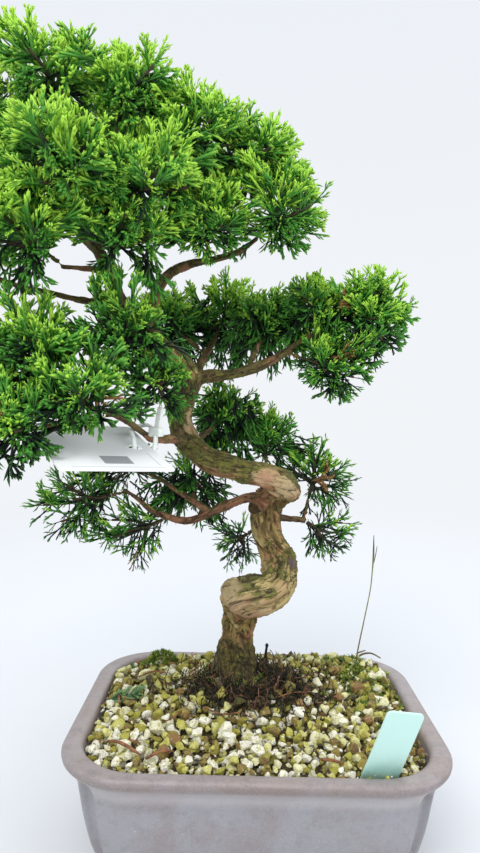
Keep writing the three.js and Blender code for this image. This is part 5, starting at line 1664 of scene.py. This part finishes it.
class MakeFoliage(bpy.types.Operator):
    """Fill every pad with forked sprays along the shoots of its CAD node"""

    bl_idname = "bonsai.make_foliage"
    bl_label = "Foliage"

    def execute(self, context):
        settings = context.scene.bonsai_foliage
        shapes = [spray_shape(index, settings) for index in range(settings.shape_count)]
        sprays = Scatter("spray", shapes)
        stem_points, stem_faces = [], []
        material = foliage_green()
        pads = sorted(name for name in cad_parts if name.startswith("foliage_"))
        middles = {}
        for node in pads:
            low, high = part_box(node)
            middles[node] = (low + high) / 2
        for index, node in enumerate(pads):
            lot = random.Random(settings.seed * 1000 + index)
            shoots, points, stems = shoots_of(node)
            offset = len(stem_points)
            stem_points += [tuple(point) for point in points]
            stem_faces += [[offset + corner for corner in face] for face in stems]
            neighbours = [
                middle for other, middle in middles.items()
                if other != node and (middle - middles[node]).length < BRIDGED
            ]
            self.fill(sprays, settings, lot, shoots, points, stems, middles[node], neighbours)
            if node in DRAPED_PADS:
                self.drape(sprays, settings, lot, shoots)
            mesh = sprays.laid(node, material, 0.16, settings.seed + index)
            shade_smooth(mesh)
            add_piece(f"sprays_{node.removeprefix('foliage_')}", mesh, material, [node])
        sprays.remove()
        twigs = mesh_of("foliage_twigs", stem_points, stem_faces)
        shade_smooth(twigs)
        add_piece("foliage_twigs", twigs, twig_bark())
        return {"FINISHED"}

    def fill(self, sprays, settings, lot, shoots, points, stems, middle, neighbours):
        """Puts a spray along each shoot, more on the stems, and some that reach to the next pads."""
        rise = Vector((0, 0, 1))
        wispy = soft_step(middle.z, 0.17, 0.135)

        def stray(amount):
            return Vector((lot.gauss(0, amount), lot.gauss(0, amount), lot.gauss(0, amount)))

        def picked():
            thin, count = settings.thin_count, settings.shape_count
            return lot.randrange(thin) if lot.random() < max(wispy, 0.3) else lot.randrange(thin, count)

        def tone_at(place, heading):
            # Painted light: sprays that face up and out from the pad's middle, and those high in the crown,
            # get a higher tone and a brighter green; young ones and a random share add real variety.
            outward = (place - middle).normalized()
            young = 0.34 if lot.random() < 0.3 else -0.08
            tone = 0.13 + 0.28 * outward.z + 0.12 * heading.z + young + lot.uniform(-0.16, 0.16)
            tone += 0.06 * soft_step(place.z, 0.13, 0.17) + 0.4 * soft_step(place.z, 0.18, 0.24)
            return DEAD_TONE if lot.random() < settings.dead_share else max(-0.8, tone)

        for foot, tip in shoots:
            if lot.random() < 0.15 * wispy:
                continue
            shoot = tip - foot
            length = shoot.length
            heading = shoot.normalized() + rise * blend(0.12, -0.12, wispy) + stray(0.15)
            reach = max(length * lot.uniform(0.82, 1.1), 8.5 * MM)
            if lot.random() < blend(0.12, 0.5, wispy):
                reach *= 1.15
            tone = tone_at(tip, heading.normalized())
            sprays.put(foot, heading, reach, lot, tone=tone, pick=picked())
            if lot.random() < settings.second_share * blend(1, 0.2, wispy):
                across = shoot.orthogonal().normalized()
                across.rotate(Matrix.Rotation(lot.uniform(0, 2 * math.pi), 3, shoot))
                turned = shoot.normalized() + across * lot.uniform(0.5, 1.0) + rise * 0.15
                start = foot + shoot * lot.uniform(0.1, 0.4)
                sprays.put(start, turned, reach * lot.uniform(0.65, 0.9), lot, tone=tone, pick=picked())
        for other in neighbours:
            towards = (other - middle).normalized()
            facing = sorted(shoots, key=lambda shoot: -(shoot[1] - middle).normalized().dot(towards))
            for foot, tip in facing[: round(settings.bridges * blend(1, 0.4, wispy))]:
                heading = towards * 0.9 + (tip - foot).normalized() * 0.7 + rise * 0.2 + stray(0.3)
                start = foot + (tip - foot) * lot.uniform(0.25, 0.6)
                reach = lot.uniform(11.5, 16) * MM
                # Painted shade: sprays that bridge to the next pad get a lower tone.
                tone = tone_at(tip, heading.normalized()) - 0.12
                sprays.put(start, heading, reach, lot, tone=tone, pick=picked())
        for face in stems:
            if lot.random() > settings.filling * blend(1, 0.3, wispy):
                continue
            a, b, c = (Vector(points[corner]) for corner in face)
            place = (a + b + c) / 3
            heading = (b - a).cross(c - a).normalized() + (place - middle).normalized() * 0.5 + rise * 0.25
            reach = lot.uniform(9, 13) * MM
            end = place + heading.normalized() * reach
            # Painted shade: sprays on the stems, inside the pad, get a lower tone.
            tone = tone_at(end, heading.normalized()) - 0.2
            sprays.put(place, heading, reach, lot, tone=tone, pick=picked())

    def drape(self, sprays, settings, lot, shoots):
        """Puts long dark sprays that hang below a pad."""
        for _ in range(settings.draped):
            foot, tip = lot.choice(shoots)
            start = foot + (tip - foot) * lot.uniform(0.1, 0.6)
            heading = (tip - foot).normalized() * 0.5 + leaning(lot, 0.35, -0.95)
            reach, pick = lot.uniform(13, 21) * MM, lot.randrange(settings.thin_count)
            # Painted shade: a low tone keeps the hanging sprays dark.
            sprays.put(start, heading, reach, lot, tone=lot.uniform(-0.25, 0.15), pick=pick)


# Tag, tie, marker and grass


class LabelSettings(bpy.types.PropertyGroup):
    """Colours of the card, its tie and the name marker."""

    card_colour: FloatVectorProperty(
        name="Card colour", description="White of the hanging card", default=linear(240, 241, 243),
        size=4, subtype="COLOR",
    )
    panel_colour: FloatVectorProperty(
        name="Panel colour", description="Grey of the blank panel printed on the card",
        default=linear(118, 122, 130), size=4, subtype="COLOR",
    )
    marker_colour: FloatVectorProperty(
        name="Marker colour", description="Mint of the blank name marker", default=linear(194, 230, 221),
        size=4, subtype="COLOR",
    )
    card_thickness: FloatProperty(
        name="Card thickness", description="Thickness of the hanging card", default=0.0006, unit="LENGTH",
    )


# Card in millimetres: one corner, its two directions, sizes, and the hole near one side
CARD_CORNER = (-27.7, -62, 150.3)
CARD_ALONG = Vector((-0.457, 0.855, 0.245)).normalized()
CARD_FRONT = Vector((-0.878, -0.479, 0.034)).normalized()
CARD_SIDE, CARD_WIDTH, CARD_ROUNDING = 46.0, 35.3, 1.5
HOLE_INSET, HOLE_RADIUS, HOLE_SIDES = 5.5, 2.6, 24

# Tie in millimetres: width and thickness of its band, then its loop, tail and head
TIE_WIDTH, TIE_THICKNESS = 2.2, 0.9
TIE_LOOP = [
    (-38, -33.2, 160.4), (-37.6, -36, 157.4), (-38, -39.4, 154.4), (-40.2, -43, 153),
    (-42.8, -45.2, 154.6), (-43.6, -44.6, 158.2), (-45, -40.4, 160.6), (-46, -35.4, 161),
    (-45, -31.9, 162.2), (-42, -30.9, 163.2), (-39.4, -31.8, 162.4), (-38.2, -32.8, 161),
]
TIE_TAIL = [(-37.7, -33.2, 161.4), (-37.1, -32.8, 165.4), (-36.6, -31.6, 169.4)]
HEAD_PLACE, HEAD_SIZE, HEAD_TURN, HEAD_ROUNDING = (-37.8, -33.2, 160.8), (4.8, 3.4, 3.2), -0.45, 0.7

# Marker in millimetres: middle of its foot and top, direction across, half width, corner rounding
MARKER_FOOT, MARKER_TOP = Vector((36.2, -39.9, 30)), Vector((47.1, -53, 73.3))
MARKER_ACROSS = Vector((0.959, 0.224, -0.174)).normalized()
MARKER_HALF, MARKER_HALF_THICKNESS, MARKER_ROUNDING = 6.7, 0.4, 1.6

# Marker's section as shares of its half width and half thickness
MARKER_SECTION = (
    (1, 0.6), (0.985, 1), (-0.985, 1), (-1, 0.6), (-1, -0.6), (-0.985, -1), (0.985, -1), (1, -0.6),
)

# Corners of the tie's section, and height in millimetres of the card's and the marker's bow
BAND_SIDES = 16
SMALL_BOW = 0.35


def card_mesh(settings):
    """Thin card with rounded corners, a hole near one side and a slight bow."""

    def arc_point(x, y, radius, angle):
        return (x + radius * math.cos(angle), y + radius * math.sin(angle), 0)

    left = low = CARD_ROUNDING
    right, high = CARD_WIDTH - CARD_ROUNDING, CARD_SIDE - CARD_ROUNDING
    outline = [
        arc_point(x, y, CARD_ROUNDING, math.radians(start + turn))
        for x, y, start in ((right, high, 0), (left, high, 90), (left, low, 180), (right, low, 270))
        for turn in range(0, 91, 15)
    ]
    hole = [
        arc_point(HOLE_INSET, CARD_SIDE / 2, HOLE_RADIUS, 2 * math.pi * i / HOLE_SIDES)
        for i in range(HOLE_SIDES)
    ]
    flat = bmesh.new()
    for loop in (outline, hole):
        corners = [flat.verts.new(point) for point in loop]
        for i, corner in enumerate(corners):
            flat.edges.new((corner, corners[(i + 1) % len(corners)]))
    bmesh.ops.triangle_fill(flat, use_beauty=True, edges=flat.edges[:])
    bmesh.ops.recalc_face_normals(flat, faces=flat.faces[:])
    if flat.faces[:] and flat.faces[0].normal.z < 0:
        bmesh.ops.reverse_faces(flat, faces=flat.faces[:])
    bmesh.ops.subdivide_edges(flat, edges=flat.edges[:], cuts=2, use_grid_fill=True)
    uv = flat.loops.layers.uv.new("UVMap")
    for face in flat.faces:
        for loop in face.loops:
            loop[uv].uv = (loop.vert.co.x / CARD_WIDTH, loop.vert.co.y / CARD_SIDE)
    normal = CARD_FRONT.cross(CARD_ALONG).normalized()
    corner = Vector(CARD_CORNER)
    for vertex in flat.verts:
        x, y = vertex.co.x, vertex.co.y
        bow = SMALL_BOW * math.sin(math.pi * y / CARD_SIDE) - 0.18
        vertex.co = at_pot(*(corner + CARD_FRONT * x + CARD_ALONG * y + normal * bow))
    mesh = bpy.data.meshes.new("card")
    flat.to_mesh(mesh)
    flat.free()
    return applied(mesh, [("SOLIDIFY", {"thickness": settings.card_thickness, "offset": 0.0})])


@node_material
def card_stock(nodes):
    """Coated white card with a blank grey panel and two thin ruled lines."""
    label = bpy.context.scene.bonsai_label
    uv = nodes.add("ShaderNodeTexCoord", output="UV")
    across, along = nodes.part(uv, "X") * CARD_WIDTH, nodes.part(uv, "Y") * CARD_SIDE
    grain = nodes.noise(nodes.place(), 1400.0, 3.0, 0.6)

    def band(value, start, end):
        return value.above(start) * value.below(end)

    panel = band(across, 11.5, 20.5) * band(along, 5.5, 13.0)
    rule = band(along, 2.2, 2.6) * band(across, 2.5, 31.0)
    side_rule = band(across, 3.4, 3.8) * band(along, 4.0, 17.0)
    colour = nodes.mix(grain * 0.12, tuple(label.card_colour), linear(222, 224, 226))
    print_share = (panel * 0.85 + rule * 0.5 + side_rule * 0.4).capped()
    colour = nodes.mix(print_share, colour, tuple(label.panel_colour))
    nodes.surface(colour, 0.36 + grain * 0.12 + panel * 0.1, (grain, 0.00005, 0.5))


def band_mesh(name, stops, across):
    """Band of the tie with rounded edges through stops in millimetres, its width held one way."""
    route = Route([(*stop, 1.0) for stop in stops], 0.8)
    wide = Vector(across).normalized()

    def flattened(value, power):
        return math.copysign(abs(value) ** power, value)

    turns = [2 * math.pi * (i + 0.5) / BAND_SIDES for i in range(BAND_SIDES)]
    section = [(flattened(math.cos(turn), 0.35), flattened(math.sin(turn), 0.7)) for turn in turns]
    points = []
    for place, ahead in zip(route.points, route.ahead):
        proud = Vector(ahead).cross(wide).normalized()
        for w, h in section:
            offset = wide * (w * TIE_WIDTH / 2) + proud * (h * TIE_THICKNESS / 2)
            points.append(at_pot(*(Vector(place) + offset)))
    mesh = mesh_of(name, points, tube_faces(len(route.points), BAND_SIDES))
    fix_facing(mesh)
    shade_smooth(mesh)
    return mesh


def fix_facing(mesh):
    """Turns the faces of a closed mesh outwards."""
    shape = bmesh.new()
    shape.from_mesh(mesh)
    bmesh.ops.recalc_face_normals(shape, faces=shape.faces[:])
    shape.to_mesh(mesh)
    shape.free()


def rounded_box(name, size, centre, turn, bevel):
    """Box with rounded edges, given in millimetres."""
    shape = bmesh.new()
    bmesh.ops.create_cube(shape, size=1.0)
    bmesh.ops.scale(shape, vec=Vector(size) * MM, verts=shape.verts)
    bmesh.ops.bevel(
        shape, geom=shape.edges[:], offset=bevel * MM, segments=3, profile=0.5, affect="EDGES",
    )
    bmesh.ops.rotate(shape, matrix=Matrix.Rotation(turn, 3, "Z"), verts=shape.verts)
    bmesh.ops.translate(shape, vec=at_pot(*centre), verts=shape.verts)
    mesh = bpy.data.meshes.new(name)
    shape.to_mesh(mesh)
    shape.free()
    shade_smooth(mesh)
    return mesh


@node_material
def tie_nylon(nodes):
    """Milky nylon of the tie."""
    cloud = nodes.noise(nodes.place(), 500.0, 3.0, 0.6)
    colour = nodes.mix(cloud.rise(0.3, 0.7), linear(236, 240, 236), linear(222, 228, 222))
    nodes.surface(colour, 0.3 + cloud * 0.12, (cloud, 0.00008, 0.4), {
        "Subsurface Weight": 0.25,
        "Subsurface Radius": (1.0, 1.0, 1.0),
        "Subsurface Scale": 0.0012,
    })


class MakeTag(bpy.types.Operator):
    """Hang the blank card and its nylon tie"""

    bl_idname = "bonsai.make_tag"
    bl_label = "Tag and tie"

    def execute(self, context):
        add_piece("card", card_mesh(context.scene.bonsai_label), card_stock(), ["tag"])
        parts = [
            band_mesh("loop", TIE_LOOP, (-0.43, -0.79, 0.43)),
            band_mesh("tail", TIE_TAIL, (1, -0.5, 0)),
            rounded_box("head", HEAD_SIZE, HEAD_PLACE, HEAD_TURN, HEAD_ROUNDING),
        ]
        mesh = joined("tie", parts)
        shade_smooth(mesh)
        add_piece("tie", mesh, tie_nylon(), ["tag_tie"])
        return {"FINISHED"}


def marker_mesh():
    """Strip pushed in by the wall, leaning sideways and over the rim, its top corners rounded."""
    run = MARKER_TOP - MARKER_FOOT
    proud = run.cross(MARKER_ACROSS).normalized()
    steps_to_top = (1, 0.8, 0.6, 0.42, 0.27, 0.14, 0.05, 0)
    shares = [i / 16 for i in range(16)]
    shares += [1 - MARKER_ROUNDING * step / run.length for step in steps_to_top]
    points, along = [], []
    for share in shares:
        left = (1 - share) * run.length
        half = MARKER_HALF
        if left < MARKER_ROUNDING:
            half -= MARKER_ROUNDING - math.sqrt(MARKER_ROUNDING**2 - (MARKER_ROUNDING - left) ** 2)
        bow = SMALL_BOW * math.sin(math.pi * share)
        for w, h in MARKER_SECTION:
            place = MARKER_FOOT + run * share + MARKER_ACROSS * (w * half)
            place += proud * (h * MARKER_HALF_THICKNESS - bow)
            points.append(at_pot(*place))
            along.append(share)
    faces = tube_faces(len(shares), len(MARKER_SECTION))
    mesh = mesh_of("marker", points, faces, {"along": along})
    fix_facing(mesh)
    shade_smooth(mesh)
    mesh.set_sharp_from_angle(angle=math.radians(35))
    return mesh


@node_material
def marker_plastic(nodes):
    """Satin mint plastic, paler in patches and stained darker near the soil."""
    label = bpy.context.scene.bonsai_label
    place = nodes.place()
    along = nodes.attribute("along")
    cloud = nodes.noise(place, 160.0, 4.0, 0.6)
    grain = nodes.noise(place, 2200.0, 2.0, 0.6)
    # Painted shade: the lower part of the strip is darkened towards a deeper mint; the olive stain below it
    # is real.
    damp_and_shade = (along + (cloud - 0.5) * 0.22).rise(0.62, 0.42)
    colour = nodes.mix(cloud.rise(0.4, 0.7) * 0.35, tuple(label.marker_colour), linear(198, 236, 229))
    colour = nodes.mix(damp_and_shade * 0.6, colour, linear(140, 196, 182))
    stain = (along + (cloud - 0.5) * 0.1).rise(0.48, 0.4)
    colour = nodes.mix(stain * 0.45, colour, linear(110, 120, 76))
    nodes.surface(colour, 0.38 + cloud * 0.16 - damp_and_shade * 0.1, (grain, 0.00004, 0.5))


class MakeMarker(bpy.types.Operator):
    """Stand the blank name marker at the front of the pot"""

    bl_idname = "bonsai.make_marker"
    bl_label = "Name marker"

    def execute(self, context):
        add_piece("marker_strip", marker_mesh(), marker_plastic(), ["name_marker"])
        return {"FINISHED"}


@node_material
def dry_grass(nodes):
    """Straw stalk with a darker seed head."""
    place = nodes.place()
    height = nodes.part(place, "Z")
    fleck = nodes.noise(place, 700.0, 3.0, 0.6)
    colour = nodes.mix(height.rise(0.055, 0.1), linear(96, 84, 52), linear(132, 134, 84))
    colour = nodes.mix(height.rise(0.098, 0.104), colour, linear(72, 74, 44))
    colour = nodes.mix(fleck.rise(0.5, 0.75) * 0.5, colour, linear(172, 164, 112))
    nodes.surface(colour, 0.6 + fleck * 0.2)


@node_material
def dry_twig(nodes):
    """Orange brown dead twigs and needles."""
    place = nodes.place()
    fleck = nodes.noise(place, 500.0, 3.0, 0.6)
    colour = nodes.mix(fleck.rise(0.35, 0.65), linear(92, 56, 36), linear(150, 102, 66))
    nodes.surface(colour, 0.7 + fleck * 0.2, (fleck, 0.0003, 0.6))


@node_material
def sprig_green(nodes):
    """Blue green of the fallen sprig."""
    tip = nodes.attribute("tip")
    place = nodes.place()
    fleck = nodes.noise(place, 700.0, 3.0, 0.6)
    colour = nodes.mix(tip.rise(0.0, 0.9), linear(40, 78, 40), linear(112, 150, 92))
    colour = nodes.mix(fleck.rise(0.5, 0.75) * 0.4, colour, linear(150, 176, 134))
    nodes.surface(colour, 0.5 + fleck * 0.2)


# Stops of thin stems: x, y, z and radius, in millimetres from the middle of the pot's foot
STALK = [
    (46.8, 38, 38, 0.4), (47.5, 38, 47, 0.36), (48.5, 38.5, 57, 0.33), (51.2, 39, 72, 0.28),
    (54, 40, 87, 0.26), (54.6, 40, 95, 0.3), (54.9, 40, 101, 0.44), (54.9, 40, 106, 0.36),
    (54.8, 40, 112, 0.16),
]
AWN = [(54.8, 40, 98, 0.26), (55.6, 39.8, 101.5, 0.22), (56.4, 39.6, 107, 0.14)]
LITTER = [
    [(-53, -31, 50.0, 0.45), (-49, -34, 51.4, 0.6), (-44, -38, 51.6, 0.55), (-40, -41, 50.8, 0.35)],
    [(-48, -33, 50.6, 0.45), (-45, -33, 51.6, 0.4), (-41, -35, 51.6, 0.3)],
    [(-38, -42, 50.2, 0.5), (-33, -39, 51.2, 0.5), (-29, -38, 50.8, 0.3)],
    [(-54, -4, 50.8, 0.4), (-56, 4, 51.8, 0.4), (-57, 11, 51.0, 0.25)],
    [(-50, 18, 52.4, 0.35), (-44, 20, 54.0, 0.4), (-38, 18, 54.4, 0.25)],
    [(22, -40, 50.2, 0.5), (26, -42, 51.0, 0.5), (29, -43, 50.4, 0.35)],
    [(-20, -12, 53.8, 0.25), (-12, -18, 54.3, 0.28), (-6, -16, 54.0, 0.2), (0, -20, 53.4, 0.18)],
    [(-34, -20, 51.8, 0.22), (-28, -14, 53.6, 0.25), (-25, -6, 54.6, 0.18)],
    [(8, -4, 54.6, 0.22), (16, 0, 55.2, 0.25), (24, 3, 54.0, 0.18)],
]
BLADES = [
    [(47, 42, 51.5, 0.5), (52, 45, 54.0, 0.5), (56, 44, 55.0, 0.4), (60, 41, 54.0, 0.25)],
    [(47, 42, 51.5, 0.4), (50, 46.5, 53.8, 0.4), (54, 47, 55.2, 0.25)],
]
STUB = [
    (5.7, 34, 52, 0.7), (5.6, 34, 56.5, 0.6), (6.0, 33.8, 60.5, 0.55), (6.1, 33.7, 61.5, 0.8),
    (6.1, 33.7, 62.3, 0.5),
]

# Fallen sprig: the place on it that is share 0, its heading and its length
SPRIG_X, SPRIG_Y, SPRIG_TURN, SPRIG_LENGTH = -52, 3, math.radians(18), 17


def stems_mesh(name, families):
    """Round stems through their stops, as one mesh."""
    mesh = joined(name, [mesh_of("stem", *stem_route(stops, 0.6).tube(10)) for stops in families])
    shade_smooth(mesh)
    return mesh


class MakeGrassAndLitter(bpy.types.Operator):
    """Stand the dry grass stalk in the soil and lay the sprig, twigs and blades on it"""

    bl_idname = "bonsai.make_grass_and_litter"
    bl_label = "Grass and litter"

    def execute(self, context):
        stalk = stems_mesh("stalk", [STALK, AWN])
        add_piece("grass_stalk_dry", stalk, dry_grass(), ["grass_stalk"])
        add_piece("grass_blades", stems_mesh("blades", BLADES), dry_grass())
        add_piece("litter_twigs", stems_mesh("twigs", LITTER), dry_twig())
        add_piece("root_stub", stems_mesh("stub", [STUB]), rootlet_brown())
        add_piece("sprig_fallen", self.sprig(), sprig_green(), ["fallen_sprig"])
        return {"FINISHED"}

    def sprig(self):
        """Small branched sprig that lies along the soil."""
        lot = random.Random(31)
        cords = Cords()
        along = Vector((math.cos(SPRIG_TURN), math.sin(SPRIG_TURN), 0))

        def on_soil(share):
            x = SPRIG_X + SPRIG_LENGTH * share * along.x
            y = SPRIG_Y + SPRIG_LENGTH * share * along.y
            return Vector((x, y, soil_height(x, y) + 1.2))

        stops = [(*on_soil(share), 0.75) for share in (-0.5, -0.32, -0.14, 0.04, 0.22)]
        stem = mesh_of("stem", *stem_route(stops, 0.8).tube(8))
        across = Vector((-along.y, along.x, 0))
        for share in (-0.42, -0.34, -0.26, -0.18, -0.1, -0.02, 0.05, 0.12, 0.18, 0.22):
            for side in (-1, 0, 1):
                heading = along * lot.uniform(0.3, 1.0) + across * side * lot.uniform(0.5, 1.2)
                heading.z = lot.uniform(0.1, 0.5) + (0.4 if side == 0 else 0.0)
                length = lot.uniform(4.5, 7.5) * MM
                place = at_pot(*on_soil(share))
                stand = cords.add(place, heading, length, 0.42 * MM, (0.1, 1.0), Vector((0, 0, -0.2)))
                start, ahead = stand(0.5)
                fork = ahead + leaning(lot, 0.4, 0.1)
                cords.add(start, fork, length * 0.5, 0.36 * MM, (0.5, 1.0))
        tips = [0.0] * len(stem.vertices) + cords.tips
        mesh = joined("sprig", [stem, cords.mesh("cords")])
        store(mesh, "tip", tips)
        shade_smooth(mesh)
        return mesh


# Stage


# Focal length as a share of the picture's long side, and the sensor's long side in millimetres
FOCAL_SHARE, SENSOR = 640 / 853, 36.0

# Turn of the camera's view to the right, as a slope
YAW = 0.001

FLOOR_HALF = 6.0

# Lights: name, place from the tree's middle, width, share of the key light's power, and colour
LIGHTS = (
    ("key", (-0.35, -0.75, 0.85), 0.7, 1.0, (1.0, 0.99, 0.97)),
    ("fill", (0.85, -0.45, 0.45), 0.8, 0.4, (0.96, 0.98, 1.0)),
    ("back", (0.2, 0.9, 0.7), 0.9, 0.45, (0.97, 0.99, 1.0)),
)


class StageSettings(bpy.types.PropertyGroup):
    """Camera, lights and floor."""

    lens: FloatProperty(
        name="Lens", description="Focal length of the camera in millimetres",
        default=FOCAL_SHARE * SENSOR, min=10,
    )
    camera_place: FloatVectorProperty(
        name="Camera place", description="Place of the camera from the middle of the pot's foot",
        default=(-0.0089, -0.2557, 0.1706), size=3, subtype="TRANSLATION",
    )
    pitch: FloatProperty(
        name="Pitch", description="How far the camera looks up", default=-0.032, subtype="ANGLE",
    )
    roll: FloatProperty(
        name="Roll", description="How far the camera is turned about its own view",
        default=0.024, subtype="ANGLE",
    )
    key_power: FloatProperty(
        name="Key light", description="Power of the large light above the front",
        default=9.0, min=0,
    )
    floor_colour: FloatVectorProperty(
        name="Floor colour", description="Colour of the plain floor", default=linear(214, 216, 219),
        size=4, subtype="COLOR",
    )
    horizon_colour: FloatVectorProperty(
        name="Horizon colour", description="Colour of the surroundings where the floor fades into them",
        default=linear(247, 250, 254), size=4, subtype="COLOR",
    )
    horizon_strength: FloatProperty(
        name="Horizon strength", description="Strength of the light from the surroundings",
        default=0.95, min=0,
    )


@node_material
def pale_floor(nodes):
    """Plain matt floor that fades into the surroundings far from the pot."""
    stage = bpy.context.scene.bonsai_stage
    away = nodes.add("ShaderNodeVectorMath", {"operation": "LENGTH"}, {0: nodes.place()}, "Value")
    far = away.rise(0.22, 1.1)
    colour = nodes.mix(far, tuple(stage.floor_colour), (0, 0, 0, 1))
    nodes.surface(colour, 0.9, None, {
        "Specular IOR Level": 0.0,
        "Emission Color": nodes.mix(far, (0, 0, 0, 1), tuple(stage.horizon_colour)),
        "Emission Strength": stage.horizon_strength,
    })


def aimed_light(name, place, target, size, power, colour):
    """Soft square light that looks at a point."""
    data = bpy.data.lights.new(name, "AREA")
    data.shape, data.size, data.energy, data.color = "SQUARE", size, power, colour
    light = linked(name, data)
    light.location = place
    light.rotation_mode = "QUATERNION"
    light.rotation_quaternion = (target - place).to_track_quat("-Z", "Y")


class MakeStage(bpy.types.Operator):
    """Set up the camera, the soft lights and the floor"""

    bl_idname = "bonsai.make_stage"
    bl_label = "Stage"

    def execute(self, context):
        settings = context.scene.bonsai_stage
        self.camera(context, settings)
        signs = ((-1, -1), (1, -1), (1, 1), (-1, 1))
        corners = [POT_CENTRE + Vector((x, y, 0)) * FLOOR_HALF for x, y in signs]
        floor = linked("floor", mesh_of("floor", corners, [(0, 1, 2, 3)]))
        floor.data.materials.append(pale_floor())
        middle = POT_CENTRE + Vector((-0.02, 0, 0.15))
        for name, place, size, share, colour in LIGHTS:
            power = settings.key_power * share
            aimed_light(name, middle + Vector(place), middle, size, power, colour)
        self.surroundings(context)
        context.scene.view_settings.view_transform = "Standard"
        return {"FINISHED"}

    def camera(self, context, settings):
        """Camera at the height and tilt of the view, a little rolled."""
        data = bpy.data.cameras.new("camera")
        data.lens, data.sensor_width, data.sensor_fit = settings.lens, SENSOR, "AUTO"
        data.clip_start, data.clip_end = 0.01, 20.0
        camera = linked("camera", data)
        level, right = Vector((YAW, 1, 0)).normalized(), Vector((1, -YAW, 0)).normalized()
        sky = Vector((0, 0, 1))
        ahead = level * math.cos(settings.pitch) + sky * math.sin(settings.pitch)
        up = sky * math.cos(settings.pitch) - level * math.sin(settings.pitch)
        side = right * math.cos(settings.roll) + up * math.sin(settings.roll)
        top = up * math.cos(settings.roll) - right * math.sin(settings.roll)
        turn = Matrix((side, top, -ahead)).transposed().to_4x4()
        camera.matrix_world = Matrix.Translation(POT_CENTRE + Vector(settings.camera_place)) @ turn
        context.scene.camera = camera

    def surroundings(self, context):
        """Even pale surroundings, a little cooler above."""
        world = bpy.data.worlds.new("soft_surroundings")
        world.use_nodes = True
        world.node_tree.nodes.clear()
        nodes = Nodes(world.node_tree)
        place = nodes.add("ShaderNodeTexCoord", output="Generated")
        height = nodes.part(place, "Z")
        stage = context.scene.bonsai_stage
        colour = nodes.mix(height.rise(0.0, 0.8), tuple(stage.horizon_colour), linear(240, 245, 252))
        light = nodes.add("ShaderNodeBackground", {}, {"Color": colour, "Strength": stage.horizon_strength})
        nodes.add("ShaderNodeOutputWorld", {}, {"Surface": light})
        context.scene.world = world


# Panel and registration


class BonsaiPanel(bpy.types.Panel):
    """Lists what can be made and its settings"""

    bl_idname = "VIEW3D_PT_bonsai"
    bl_label = "Bonsai"
    bl_space_type = "VIEW_3D"
    bl_region_type = "UI"
    bl_category = "Bonsai"

    def draw(self, context):
        for group, operators in PANEL_ROWS:
            box = self.layout.box()
            settings = getattr(context.scene, group)
            for name in settings.__annotations__:
                box.prop(settings, name)
            for operator in operators:
                box.operator(operator.bl_idname)


GROUPS = {
    "bonsai_pot": PotSettings,
    "bonsai_soil": SoilSettings,
    "bonsai_wood": WoodSettings,
    "bonsai_foliage": FoliageSettings,
    "bonsai_label": LabelSettings,
    "bonsai_stage": StageSettings,
}
PANEL_ROWS = [
    ("bonsai_pot", [MakePot, MakeDrainCovers]),
    ("bonsai_soil", [MakeSoil, MakeGrassAndLitter]),
    ("bonsai_wood", [MakeWood]),
    ("bonsai_foliage", [MakeFoliage]),
    ("bonsai_label", [MakeTag, MakeMarker]),
    ("bonsai_stage", [MakeStage]),
]
OPERATORS = [operator for _, operators in PANEL_ROWS for operator in operators]


def register():
    for item in (*GROUPS.values(), *OPERATORS, BonsaiPanel):
        bpy.utils.register_class(item)
    for name, group in GROUPS.items():
        setattr(bpy.types.Scene, name, PointerProperty(type=group))


def unregister():
    for name in GROUPS:
        delattr(bpy.types.Scene, name)
    for item in (BonsaiPanel, *reversed(OPERATORS), *reversed(GROUPS.values())):
        bpy.utils.unregister_class(item)


def main():
    """Makes the whole scene and notes the two boxes."""
    register()
    bpy.ops.bonsai.make_stage()
    bpy.ops.bonsai.make_pot()
    bpy.ops.bonsai.make_drain_covers()
    bpy.ops.bonsai.make_soil()
    bpy.ops.bonsai.make_wood()
    bpy.ops.bonsai.make_foliage()
    bpy.ops.bonsai.make_grass_and_litter()
    bpy.ops.bonsai.make_tag()
    bpy.ops.bonsai.make_marker()
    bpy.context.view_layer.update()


if __name__ == "__main__":
    main()
